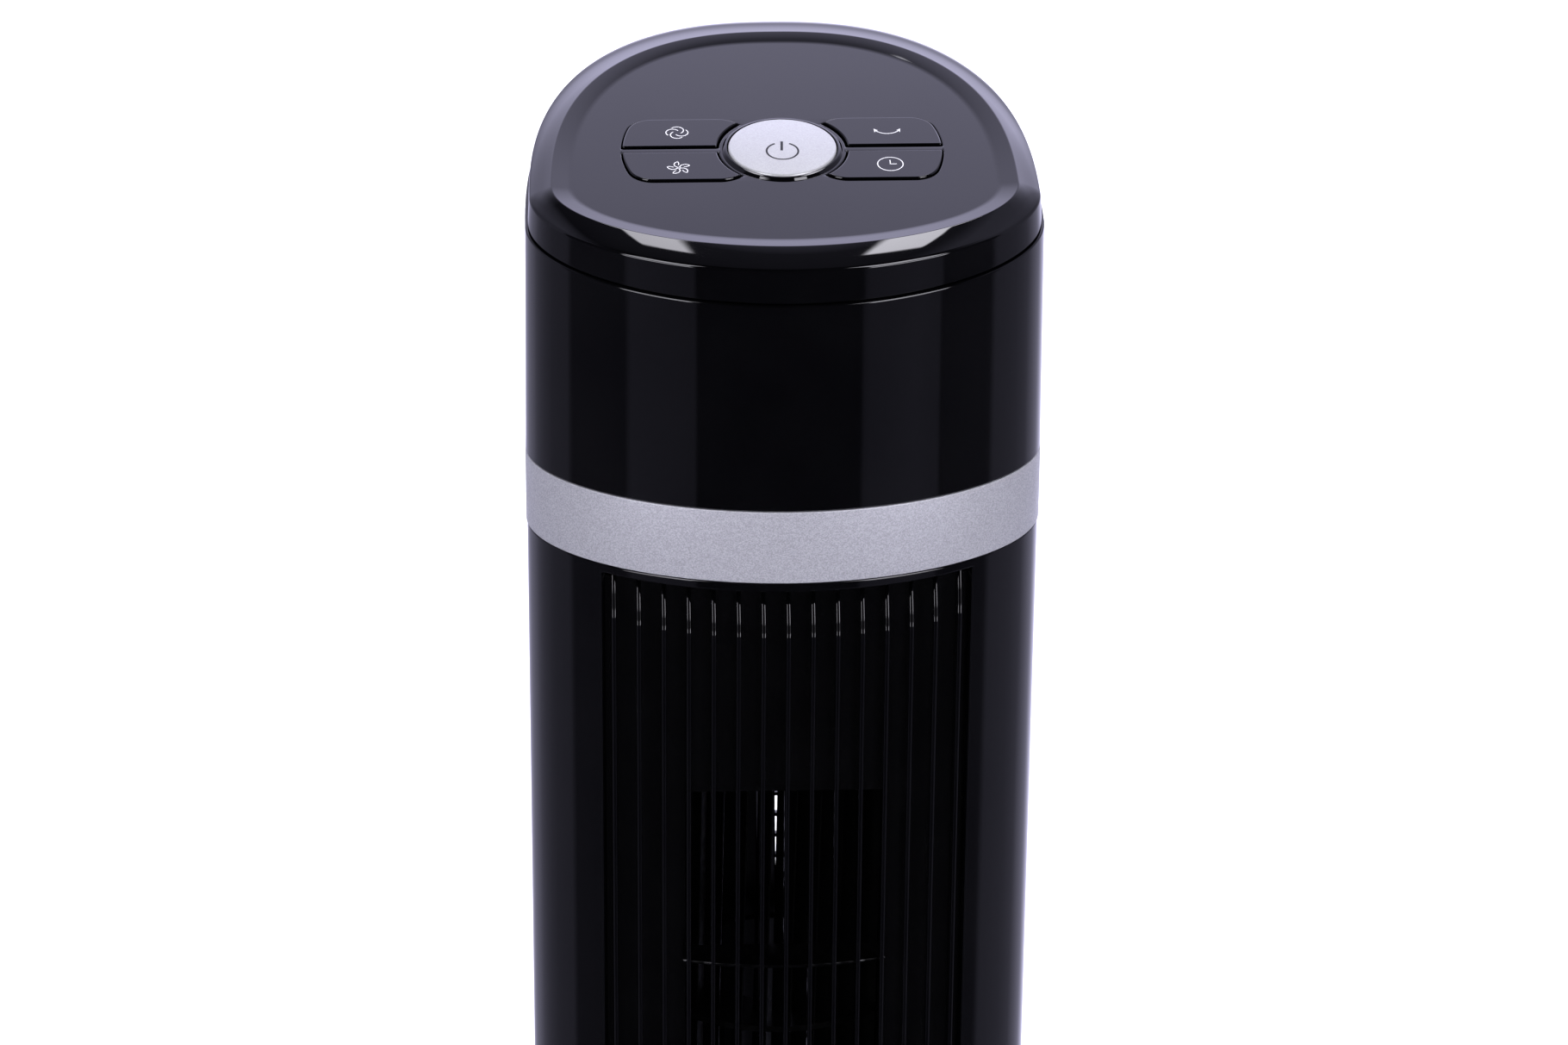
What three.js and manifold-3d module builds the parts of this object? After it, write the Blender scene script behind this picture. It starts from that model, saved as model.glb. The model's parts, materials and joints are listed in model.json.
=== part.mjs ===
// A tower fan: a weighted round base, a swivelling tower with a cross-flow impeller, and a control head.
// Millimetres, +Z up, front towards -Y, origin under the middle of the base on the floor.
import * as THREE from "three";
import { mergeVertices } from "three/addons/utils/BufferGeometryUtils.js";
import Module from "manifold-3d";

const wasm = await Module();
wasm.setup();

// ---------------------------------------------------------------- driving dimensions

const GAP = 0.3; // between neighbouring pieces
const WALL = 2.5; // moulded shells

// The tower's plan: a shallow front arc and a deep, rounder back meet at the widest line.
const WIDEST_Y = -33;
const PLAN = { side: 80, front: 48.5, back: 114 };
const FRONT_POWER = 1.93;
const BACK_POWER = 2.4;
const PLAN_POINTS = 44;

// Heights along the tower.
const TOWER_FLOOR = 56.2;
const LOWER_TOP = 96;
const BAND_BOTTOM = 723.5;
const BAND_TOP = 747.5;
const SHELL_INSET = 0.34; // the grille and the rear shell stand this far behind the band
const SPLIT_Y = -27; // where the front and rear shells meet

// The head is cut off by slanted planes; each is given by its height at the widest line and its slant.
const SEAM = { z: 822.7, slant: 8.6 };
const SHOULDER = { z: 831.8, slant: 6.5 };
const RIDGE = { z: 834.9, slant: 8.9 };
const PANEL = { z: 834.35, slant: 8.9 };
const HEAD_DRAFT = 0.8; // the head narrows by this much towards the seam
const CAP_INSET = { seam: 1.6, shoulder: 2.2 };
const RIDGE_PLAN = { side: 71, front: 34.6, back: 92 };
const PANEL_PLAN = { side: 64.5, front: 29.1, back: 84.5 };

// Push buttons, in the panel's own plane (u across, v up the slope, w out of the panel).
const BUTTONS_V = 21.1; // from the widest line, up the slope
const DISC_RADIUS = 16.7;
const DISC_CLEARANCE = 0.35;
const RING_RADIUS = 20.2; // the four small buttons stop here
const OBLONG = { halfLength: 49.4, halfHeight: 18.2, endRadius: 26, cornerRadius: 7 };
const ROW_GAP = 2.6; // between the upper and lower small buttons
const BUTTON_PROUD = 0.5;
const DISC_PROUD = 1.1;
const COLLAR = { inner: 17.05, outer: 19.7, height: 0.5 }; // raised ring round the power disc
const FLANGE = { lip: 0.7, top: -2.9, bottom: -3.9 };
const STEM = { radius: 2, bottom: -4.7 };
const PCB = { top: -11, thickness: 1.6, halfLength: 50, halfHeight: 20 };
const SMALL_BUTTON_CENTRE = { u: 32, v: 10.2 };

// Grilles.
const BAR = { count: 15, pitch: 7.62, width: 1.4, depth: 7, recess: 0.4 };
const FRONT_WINDOW = { halfWidth: 57.2, bottom: 112, top: 720.4 };
const REAR_WINDOW = { halfWidth: 53, bottom: 158, top: 652, rows: 13, rib: 4, post: 2.4 };

// Air path and impeller.
const IMPELLER = { y: 4, radius: 46, inner: 36, bottom: 166, section: 93.6, sections: 5, blades: 16, disc: 2 };
const DUCT = { plateY: -59, halfWidth: 61.6, opening: 31, bottom: 153.4, top: 716, openingTop: 639 };
const PARTITION = { top: 583, pitch: 58, count: 8, thickness: 1.4, inset: 10 };

// Swivel.
const PEDESTAL = { radius: 62, inner: 56, floor: 30.4, floorTop: 34, top: 50 };
const HUB = { radius: 18, bore: 12, bottom: 19 };
const GEAR = { module: 1, fixedTeeth: 54, pinionTeeth: 18, sectorTeeth: 24, bottom: 34.3, top: 41.5 };
const BASE_RADIUS = 140;
const BASE_SCREW_RADIUS = 51.5;
const CORD_INLET = { bore: 3.4, barrel: 4.6, flange: 5.7, z: 11.7 };

// ---------------------------------------------------------------- geometry helpers

const RAD = Math.PI / 180;
const { sin, cos, tan, PI, hypot, sqrt, abs, sign } = Math;

// A closed geometry as a manifold-3d solid.
function solid(geometry) {
  const bare = new THREE.BufferGeometry();
  const flat = geometry.index ? geometry.toNonIndexed() : geometry;
  bare.setAttribute("position", flat.getAttribute("position").clone());
  const merged = mergeVertices(bare, 1e-3);
  return new wasm.Manifold(
    new wasm.Mesh({
      numProp: 3,
      vertProperties: new Float32Array(merged.attributes.position.array),
      triVerts: new Uint32Array(merged.index.array),
    }),
  );
}

// A solid back as a geometry.
function geometryOf(body) {
  const mesh = body.getMesh();
  const positions = new Float32Array(mesh.numVert * 3);
  for (let i = 0; i < mesh.numVert; i++) {
    positions.set(mesh.vertProperties.subarray(i * mesh.numProp, i * mesh.numProp + 3), i * 3);
  }
  const geometry = new THREE.BufferGeometry();
  geometry.setAttribute("position", new THREE.BufferAttribute(positions, 3));
  geometry.setIndex(new THREE.BufferAttribute(new Uint32Array(mesh.triVerts), 1));
  return geometry;
}

const union = (bodies) => bodies.reduce((sum, body) => sum.add(body));
const cut = (body, tools) => tools.reduce((left, tool) => left.subtract(tool), body);

// The tower's plan outline, anticlockwise from +X. An inset moves it inwards all round.
function planPoints(size, inset = 0, count = PLAN_POINTS) {
  const points = [];
  for (let i = 0; i < count; i++) {
    const c = cos((2 * PI * i) / count);
    const s = sin((2 * PI * i) / count);
    const power = s < 0 ? FRONT_POWER : BACK_POWER;
    const depth = (s < 0 ? size.front : size.back) - inset;
    const x = (size.side - inset) * sign(c) * abs(c) ** (2 / power);
    const y = WIDEST_Y + depth * sign(s) * abs(s) ** (2 / power);
    points.push(new THREE.Vector2(abs(x) < 1e-9 ? 0 : x, y));
  }
  return points;
}

// The front surface's y at a given x.
function frontY(x, inset = 0) {
  const share = abs(x) / (PLAN.side - inset);
  return WIDEST_Y - (PLAN.front - inset) * (1 - share ** FRONT_POWER) ** (1 / FRONT_POWER);
}

// The plan outline lifted to a level or slanted plane.
function loop(size, inset, plane) {
  const { z, slant = 0 } = typeof plane === "number" ? { z: plane } : plane;
  const rise = tan(slant * RAD);
  return planPoints(size, inset).map((p) => new THREE.Vector3(p.x, p.y, z + (p.y - WIDEST_Y) * rise));
}

// A skin through loops of equal count. Open ends are capped; a ring's last loop joins its first.
function loft(loops, { ring = false } = {}) {
  const count = loops[0].length;
  const positions = loops.flat().flatMap((p) => [p.x, p.y, p.z]);
  const index = [];
  const bands = ring ? loops.length : loops.length - 1;
  for (let k = 0; k < bands; k++) {
    const low = k * count;
    const high = ((k + 1) % loops.length) * count;
    for (let i = 0; i < count; i++) {
      const j = (i + 1) % count;
      index.push(low + i, low + j, high + j, low + i, high + j, high + i);
    }
  }
  if (!ring) {
    const last = (loops.length - 1) * count;
    const flat = (points) => points.map((p) => new THREE.Vector2(p.x, p.y));
    for (const [a, b, c] of THREE.ShapeUtils.triangulateShape(flat(loops[0]), [])) {
      index.push(a, c, b);
    }
    for (const [a, b, c] of THREE.ShapeUtils.triangulateShape(flat(loops.at(-1)), [])) {
      index.push(last + a, last + b, last + c);
    }
  }
  const geometry = new THREE.BufferGeometry();
  geometry.setAttribute("position", new THREE.Float32BufferAttribute(positions, 3));
  geometry.setIndex(index);
  return geometry;
}

// A flat outline pushed up from z0 to z1.
function prism(points, z0, z1, holes = []) {
  const shape = new THREE.Shape(points);
  shape.holes = holes.map((hole) => new THREE.Path(hole));
  const geometry = new THREE.ExtrudeGeometry(shape, { depth: z1 - z0, bevelEnabled: false });
  return geometry.translate(0, 0, z0);
}

// A box between two corners.
function box(low, high) {
  const size = high.map((v, i) => v - low[i]);
  const geometry = new THREE.BoxGeometry(...size);
  return geometry.translate(...high.map((v, i) => (v + low[i]) / 2));
}

// A profile of [radius, z] pairs turned about the Z axis, then moved to x, y.
function turned(profile, segments = 32, x = 0, y = 0) {
  const area = profile.reduce((sum, [r, z], i) => {
    const [r2, z2] = profile[(i + 1) % profile.length];
    return sum + r * z2 - r2 * z;
  }, 0);
  const points = (area > 0 ? profile : [...profile].reverse()).map(([r, z]) => new THREE.Vector2(r, z));
  const onAxis = points.findIndex((p, i) => p.x === 0 && points[(i + 1) % points.length].x === 0);
  const ordered =
    onAxis < 0 ? [...points, points[0]] : [...points.slice(onAxis + 1), ...points.slice(0, onAxis + 1)];
  // LatheGeometry turns about Y with the profile's y as height; a quarter turn stands it on Z.
  const geometry = new THREE.LatheGeometry(ordered, segments).rotateX(PI / 2);
  return geometry.translate(x, y, 0);
}

const tube = (inner, outer, z0, z1, segments, x, y) =>
  turned([[inner, z0], [outer, z0], [outer, z1], [inner, z1]], segments, x, y);

const rod = (radius, z0, z1, segments, x, y) =>
  turned([[0, z0], [radius, z0], [radius, z1], [0, z1]], segments, x, y);

// A rod whose axis lies along Y.
const rodAlongY = (radius, y0, y1, segments, x, z) => rod(radius, -y1, -y0, segments).rotateX(PI / 2).translate(x, 0, z);

// ---------------------------------------------------------------- colours

const material = (color, roughness, metalness = 0) =>
  new THREE.MeshStandardMaterial({ color, roughness, metalness });
const LOOK = {
  gloss: material(0x0a0a0c, 0.12),
  satin: material(0x141416, 0.5),
  silver: material(0xb4b4bd, 0.35, 0.5),
  steel: material(0x9a9ca0, 0.35, 1),
  copper: material(0xa5562b, 0.4, 1),
  rubber: material(0x161616, 0.9),
  board: material(0x1f5a34, 0.5),
  nylon: material(0xd9d5c8, 0.5),
  brass: material(0xb08d4c, 0.4, 1),
};

const fan = new THREE.Group();

function add(name, shape, look, parent = fan) {
  const geometry = shape.isBufferGeometry ? shape : geometryOf(shape);
  const mesh = new THREE.Mesh(geometry, look);
  mesh.name = name;
  parent.add(mesh);
  return mesh;
}

// ---------------------------------------------------------------- base

function base() {
  const screwSpots = [45, 165, 285].map((angle) => [
    BASE_SCREW_RADIUS * cos(angle * RAD),
    BASE_SCREW_RADIUS * sin(angle * RAD),
  ]);
  const screwHoles = (radius) => screwSpots.map(([x, y]) => solid(rod(radius, 0, 45, 10, x, y)));

  const profile = [
    [BASE_RADIUS, 4], [BASE_RADIUS, 11], [BASE_RADIUS - 2, 15.5], [BASE_RADIUS - 8, 18.6], [110, 23.5], [64, 30.1],
    [47, 30.1], [47, 27.6], [64, 27.6], [110, 20.9], [BASE_RADIUS - 9, 16], [BASE_RADIUS - 3, 11],
    [BASE_RADIUS - 3, 4],
  ];
  const inletHole = solid(rodAlongY(CORD_INLET.barrel + 0.4, 120, 150, 14, 0, CORD_INLET.z));
  const inletSeat = solid(rodAlongY(CORD_INLET.flange + 0.4, BASE_RADIUS - 2, 150, 14, 0, CORD_INLET.z));
  add("base_cover", cut(solid(turned(profile, 40)), [inletHole, inletSeat, ...screwHoles(2.1)]), LOOK.gloss);

  const plate = tube(30, BASE_RADIUS - 3.4, 4, 6.5, 40);
  const spacers = screwSpots.map(([x, y]) => solid(tube(2.4, 5, 6, 27.3, 12, x, y)));
  add("base_plate", cut(union([solid(plate), ...spacers]), screwHoles(2.1)), LOOK.satin);

  const cup = turned(
    [
      [21.3, PEDESTAL.floor], [PEDESTAL.radius, PEDESTAL.floor], [PEDESTAL.radius, PEDESTAL.top],
      [PEDESTAL.inner, PEDESTAL.top], [PEDESTAL.inner, PEDESTAL.floorTop], [21.3, PEDESTAL.floorTop],
    ],
    36,
  );
  const bosses = screwSpots.map(([x, y]) => solid(rod(4.4, PEDESTAL.floor + 1, 38, 12, x, y)));
  add("pedestal", cut(union([solid(cup), ...bosses]), screwHoles(1.8)), LOOK.satin);

  screwSpots.forEach(([x, y], i) => {
    const screw = [[0, 2.6], [1, 1.6], [3.4, 1.6], [3.4, 3.7], [1.5, 3.7], [1.5, 36], [0, 37]];
    add(`base_screw_${i + 1}`, turned(screw, 10, x, y), LOOK.steel);
  });

  add("thrust_washer", tube(PEDESTAL.inner + 0.5, PEDESTAL.radius - 0.5, PEDESTAL.top + 0.3, 51.4, 32), LOOK.nylon);
  add("hub_bush", tube(HUB.radius + 0.3, 21, 30.4, 33.9, 36), LOOK.nylon);

  for (let i = 0; i < 4; i++) {
    const angle = (45 + 90 * i) * RAD;
    const foot = [[0, 0], [9, 0], [10, 1.2], [10, 3.7], [0, 3.7]];
    add(`rubber_foot_${i + 1}`, turned(foot, 16, 118 * cos(angle), 118 * sin(angle)), LOOK.rubber);
  }

  const { bore, barrel, flange, z } = CORD_INLET;
  const bush = [
    [bore, -132], [barrel, -132], [barrel, -138.3], [flange, -138.3], [flange, -139.9], [bore, -139.9],
  ];
  add("cord_inlet", turned(bush, 14).rotateX(PI / 2).translate(0, 0, z), LOOK.rubber);
}

// ---------------------------------------------------------------- gears

// An involute gear outline, anticlockwise, with a little backlash. teeth may be fewer than the full circle's.
function gearOutline(count, teeth, boreRadius, middle, sectorWeb) {
  const pitch = (GEAR.module * count) / 2;
  const pressure = 20 * RAD;
  const baseRadius = pitch * cos(pressure);
  const outer = pitch + 0.92 * GEAR.module;
  const root = pitch - 1.2 * GEAR.module;
  const backlash = 0.14; // off each flank, along the pitch circle
  const involute = (a) => tan(a) - a;
  const halfAngle = (r) =>
    PI / (2 * count) - backlash / pitch + involute(pressure) - involute(Math.acos(Math.min(1, baseRadius / r)));
  const low = Math.max(baseRadius, root + 0.05);
  const radii = [0, 1, 2].map((k) => low + ((outer - low) * k) / 2);
  const points = [];
  const at = (r, angle) => points.push(new THREE.Vector2(r * cos(angle), r * sin(angle)));
  for (let t = 0; t < teeth; t++) {
    const centre = middle + ((t - (teeth - 1) / 2) * 2 * PI) / count;
    at(root, centre - halfAngle(low) - 0.01);
    radii.forEach((r) => at(r, centre - halfAngle(r)));
    [...radii].reverse().forEach((r) => at(r, centre + halfAngle(r)));
    at(root, centre + halfAngle(low) + 0.01);
  }
  if (sectorWeb) {
    // Close a sector round the bore with a plain ring on the far side.
    const span = (2 * PI * teeth) / count;
    const steps = 14;
    for (let k = 0; k <= steps; k++) {
      const angle = middle + span / 2 + ((2 * PI - span) * k) / steps;
      at(boreRadius + sectorWeb, angle);
    }
  }
  return points;
}

function circlePoints(radius, segments, x = 0, y = 0) {
  return Array.from({ length: segments }, (_, i) => {
    const angle = (2 * PI * i) / segments;
    return new THREE.Vector2(x + radius * cos(angle), y + radius * sin(angle));
  });
}

const PINION_Y = (GEAR.module * (GEAR.fixedTeeth + GEAR.pinionTeeth)) / 2;

function swivel() {
  const bore = 21.6;
  const fixed = gearOutline(GEAR.fixedTeeth, GEAR.sectorTeeth, bore, PI / 2, 2.6);
  add("fixed_gear", prism(fixed, GEAR.bottom, GEAR.top, [circlePoints(bore, 28)]), LOOK.nylon);

  // An even sector has a space at its middle, so the pinion is turned half a pitch to put a tooth there.
  const facing = -PI / 2 + PI / GEAR.pinionTeeth;
  const pinion = solid(prism(gearOutline(GEAR.pinionTeeth, GEAR.pinionTeeth, 0, facing, 0), 35, 41));
  const shaft = solid(rod(3, 40.5, 60, 12));
  add("swing_pinion", geometryOf(pinion.add(shaft)).translate(0, PINION_Y, 0), LOOK.nylon);

  const disc = solid(
    turned(
      [[HUB.bore, HUB.bottom], [HUB.radius, HUB.bottom], [HUB.radius, 51.7], [64, 51.7], [64, 55.9], [HUB.bore, 55.9]],
      36,
    ),
  );
  add("turntable", cut(disc, [solid(rod(3.4, 50, 58, 14, 0, PINION_Y))]), LOOK.satin);
  const retainer = turned(
    [
      [HUB.radius + 0.3, 21.5], [27, 21.5], [27, 26.5], [25, 30.1], [HUB.radius + 0.3, 30.1],
    ],
    36,
  );
  add("swivel_retainer", retainer, LOOK.steel);

  const can = solid(rod(24, 59.5, 77, 28, 0, PINION_Y));
  const ears = solid(box([-30, PINION_Y - 5, 59.5], [30, PINION_Y + 5, 61.5]));
  const shaftHole = solid(rod(3.4, 50, 60.5, 12, 0, PINION_Y));
  add("swing_motor", can.add(ears).subtract(shaftHole), LOOK.steel);
}

// ---------------------------------------------------------------- tower shells

// A wall that follows the tower's plan between two heights.
const wallRing = (inset, thickness, z0, z1) =>
  solid(
    loft(
      [
        loop(PLAN, inset, z0), loop(PLAN, inset, z1), loop(PLAN, inset + thickness, z1), loop(PLAN, inset + thickness, z0),
      ],
      { ring: true },
    ),
  );

function shells() {
  const lower = solid(
    loft([
      loop(PLAN, 7, TOWER_FLOOR), loop(PLAN, 1.6, TOWER_FLOOR + 2.4), loop(PLAN, SHELL_INSET, TOWER_FLOOR + 6),
      loop(PLAN, SHELL_INSET, LOWER_TOP), loop(PLAN, SHELL_INSET + WALL, LOWER_TOP),
      loop(PLAN, SHELL_INSET + WALL, TOWER_FLOOR + 7), loop(PLAN, 8, TOWER_FLOOR + 3),
    ]),
  );
  const floorHoles = [solid(rod(15, 50, 70, 24)), solid(rod(3.6, 50, 70, 14, 0, PINION_Y))];
  add("lower_housing", cut(lower, floorHoles), LOOK.gloss);

  const skin = wallRing(SHELL_INSET, WALL, LOWER_TOP + GAP, BAND_BOTTOM - GAP);
  const ahead = solid(box([-100, -120, 0], [100, SPLIT_Y - GAP / 2, 900]));
  const behind = solid(box([-100, SPLIT_Y + GAP / 2, 0], [100, 120, 900]));

  const { halfWidth, bottom, top } = FRONT_WINDOW;
  const frontWindow = solid(box([-halfWidth, -120, bottom], [halfWidth, WIDEST_Y + 2, top]));
  const bars = Array.from({ length: BAR.count }, (_, i) => {
    const x = (i - (BAR.count - 1) / 2) * BAR.pitch;
    const y = frontY(x, SHELL_INSET) + BAR.recess;
    return solid(box([x - BAR.width / 2, y, bottom - 1], [x + BAR.width / 2, y + BAR.depth, top + 1]));
  });
  add("front_grille", union([skin.intersect(ahead).subtract(frontWindow), ...bars]), LOOK.gloss);

  const rearWindow = solid(
    box([-REAR_WINDOW.halfWidth, 0, REAR_WINDOW.bottom], [REAR_WINDOW.halfWidth, 120, REAR_WINDOW.top]),
  );
  const screwSpots = [[-61.5, 126], [61.5, 126]];
  const screwHoles = screwSpots.map(([x, z]) => solid(rodAlongY(4.4, 20, 90, 14, x, z)));
  add("rear_housing", cut(skin.intersect(behind), [rearWindow, ...screwHoles]), LOOK.gloss);
  screwSpots.forEach(([x, z], i) => {
    const screw = turned([[0, -22], [1.6, -24], [1.6, -44.3], [3.6, -44.3], [3.6, -46.2], [2.4, -46.8], [0, -46.8]], 12)
      .rotateX(PI / 2)
      .translate(x, 0, z);
    add(`housing_screw_${i + 1}`, screw, LOOK.steel);
  });

  const grilleBlock = solid(
    box(
      [-REAR_WINDOW.halfWidth + GAP, 0, REAR_WINDOW.bottom + GAP],
      [REAR_WINDOW.halfWidth - GAP, 120, REAR_WINDOW.top - GAP],
    ),
  );
  const pitch = (REAR_WINDOW.top - REAR_WINDOW.bottom) / REAR_WINDOW.rows;
  const posts = [-52, -17.5, 17.5, 52];
  const slots = [];
  for (let row = 0; row < REAR_WINDOW.rows; row++) {
    const z = REAR_WINDOW.bottom + row * pitch + REAR_WINDOW.rib / 2;
    for (let column = 0; column < posts.length - 1; column++) {
      const left = posts[column] + REAR_WINDOW.post / 2;
      const right = posts[column + 1] - REAR_WINDOW.post / 2;
      slots.push(solid(box([left, 0, z], [right, 120, z + pitch - REAR_WINDOW.rib])));
    }
  }
  add("rear_grille", cut(skin.intersect(grilleBlock), slots), LOOK.satin);

  add("trim_band", wallRing(0, WALL + SHELL_INSET, BAND_BOTTOM, BAND_TOP), LOOK.silver);

  const head = loft(
    [
      loop(PLAN, 0.1, BAND_TOP + GAP), loop(PLAN, HEAD_DRAFT, { z: SEAM.z - 0.25, slant: SEAM.slant }),
      loop(PLAN, HEAD_DRAFT + WALL, { z: SEAM.z - 0.25, slant: SEAM.slant }), loop(PLAN, 0.1 + WALL, BAND_TOP + GAP),
    ],
    { ring: true },
  );
  add("head_housing", head, LOOK.gloss);
}

// ---------------------------------------------------------------- head: cap, buttons, board

const panel = new THREE.Group();
panel.position.set(
  0,
  WIDEST_Y + BUTTONS_V * cos(PANEL.slant * RAD),
  PANEL.z + BUTTONS_V * sin(PANEL.slant * RAD),
);
panel.rotation.x = PANEL.slant * RAD;
panel.updateMatrixWorld(true);

// The long outline that holds the four small buttons, grown outwards.
function oblongPoints(grow) {
  const endRadius = OBLONG.endRadius + grow;
  const corner = OBLONG.cornerRadius + grow;
  const endCentre = OBLONG.halfLength - OBLONG.endRadius;
  const cornerV = OBLONG.halfHeight - OBLONG.cornerRadius;
  const cornerU = endCentre + sqrt((OBLONG.endRadius - OBLONG.cornerRadius) ** 2 - cornerV ** 2);
  const meet = Math.atan2(cornerV, cornerU - endCentre);
  const quarter = [];
  for (let k = 0; k <= 3; k++) {
    quarter.push([endCentre + endRadius * cos((meet * k) / 3), endRadius * sin((meet * k) / 3)]);
  }
  for (let k = 1; k <= 4; k++) {
    const angle = meet + ((PI / 2 - meet) * k) / 4;
    quarter.push([cornerU + corner * cos(angle), cornerV + corner * sin(angle)]);
  }
  const upper = [...quarter, ...quarter.map(([u, v]) => [-u, v]).reverse()];
  const lower = upper.slice(1, -1).map(([u, v]) => [u, -v]).reverse();
  return [...upper, ...lower].map(([u, v]) => new THREE.Vector2(u, v));
}

// One small button's plan, as a slab from w0 to w1 in the panel's frame. column and row are -1 or 1.
function buttonSlab(column, row, grow, w0, w1) {
  const slab = solid(prism(oblongPoints(grow), w0, w1));
  const ring = solid(rod(RING_RADIUS - grow, w0 - 1, w1 + 1, 32));
  const v0 = ROW_GAP / 2 - grow;
  const quadrant = solid(
    box([column < 0 ? -60 : 0, row < 0 ? -30 : v0, w0 - 1], [column < 0 ? 0 : 60, row < 0 ? -v0 : 30, w1 + 1]),
  );
  return slab.intersect(quadrant).subtract(ring);
}

const SMALL_BUTTONS = [
  ["breeze_button", -1, 1],
  ["speed_button", -1, -1],
  ["swing_button", 1, 1],
  ["timer_button", 1, -1],
];

function head() {
  const inShell = (plane, drop) => ({ z: plane.z - drop, slant: plane.slant });
  const cap = solid(
    loft([
      loop(PANEL_PLAN, 0, inShell(PANEL, WALL)),
      loop(PLAN, CAP_INSET.shoulder + 3.6, inShell(SHOULDER, 2.4)),
      loop(PLAN, CAP_INSET.shoulder + WALL, inShell(SHOULDER, 4.4)),
      loop(PLAN, CAP_INSET.seam + WALL, inShell(SEAM, -0.25)),
      loop(PLAN, CAP_INSET.seam, inShell(SEAM, -0.25)),
      loop(PLAN, CAP_INSET.shoulder, inShell(SHOULDER, 0.5)),
      loop(PLAN, CAP_INSET.shoulder + 0.6, SHOULDER),
      loop({ side: 74.2, front: 39.8, back: 101 }, 0, { z: 833.9, slant: 7.9 }),
      loop(RIDGE_PLAN, 0, RIDGE),
      loop(PANEL_PLAN, 2.5, inShell(PANEL, -0.35)),
      loop(PANEL_PLAN, 0, PANEL),
    ].map((points, k, all) => (k === all.length - 2 ? loop(PANEL_PLAN, -2.5, inShell(PANEL, -0.35)) : points))),
  );
  const toWorld = (body) => solid(geometryOf(body).applyMatrix4(panel.matrixWorld));
  const openings = SMALL_BUTTONS.map(([, column, row]) => toWorld(buttonSlab(column, row, 0, -5, 3)));
  const discHole = toWorld(solid(rod(DISC_RADIUS + DISC_CLEARANCE, -5, 3, 32)));
  const { inner, outer, height } = COLLAR;
  const collar = toWorld(
    solid(
      turned(
        [
          [inner - 1, -1], [outer, -1], [outer, height - 0.4],
          [outer - 0.6, height], [inner + 0.5, height], [inner - 1, height - 1],
        ],
        32,
      ),
    ),
  );
  add("top_cap", cut(cap.add(collar), [...openings, discHole]), LOOK.gloss);

  for (const [name, column, row] of SMALL_BUTTONS) {
    const face = buttonSlab(column, row, -DISC_CLEARANCE, FLANGE.bottom, BUTTON_PROUD);
    const flange = buttonSlab(column, row, FLANGE.lip, FLANGE.bottom, FLANGE.top);
    const { u, v } = SMALL_BUTTON_CENTRE;
    const stem = solid(rod(STEM.radius, STEM.bottom, FLANGE.bottom + 0.5, 10, u * column, v * row));
    add(name, union([face, flange, stem]), LOOK.gloss, panel);
    addSwitch(`${name.replace("_button", "")}_switch`, u * column, v * row);
  }
  const disc = solid(
    turned(
      [
        [0, STEM.bottom], [STEM.radius, STEM.bottom], [STEM.radius, FLANGE.bottom],
        [DISC_RADIUS + FLANGE.lip, FLANGE.bottom], [DISC_RADIUS + FLANGE.lip, FLANGE.top], [DISC_RADIUS, FLANGE.top],
        [DISC_RADIUS, DISC_PROUD - 0.6], [DISC_RADIUS - 0.6, DISC_PROUD], [0, DISC_PROUD],
      ],
      32,
    ),
  );
  add("power_button", disc, LOOK.silver, panel);
  addSwitch("power_switch", 0, 0);

  const boardPoints = [[-1, -1], [1, -1], [1, 1], [-1, 1]].map(
    ([u, v]) => new THREE.Vector2(u * PCB.halfLength, v * PCB.halfHeight),
  );
  add("control_board", prism(boardPoints, PCB.top - PCB.thickness, PCB.top), LOOK.board, panel);
  const tray = solid(box([-56, -22, PCB.top - 5], [56, 22, PCB.top - PCB.thickness - GAP]));
  const relief = solid(box([-40, -14, PCB.top - 6], [40, 14, PCB.top]));
  const posts = [[-53.5, -18], [53.5, -18], [53.5, 18], [-53.5, 18]].map(([u, v]) =>
    solid(rod(2.2, PCB.top - 4, -WALL - GAP, 10, u, v)),
  );
  add("board_tray", union([tray.subtract(relief), ...posts]), LOOK.satin, panel);
}

// A tact switch under a button, on the board.
function addSwitch(name, u, v) {
  const body = solid(box([u - 3, v - 3, PCB.top + GAP], [u + 3, v + 3, PCB.top + 3.8]));
  const plunger = solid(rod(1.75, PCB.top + 3.4, PCB.top + 4.8, 10, u, v));
  add(name, body.add(plunger), LOOK.satin, panel);
}

// ---------------------------------------------------------------- air path

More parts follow.
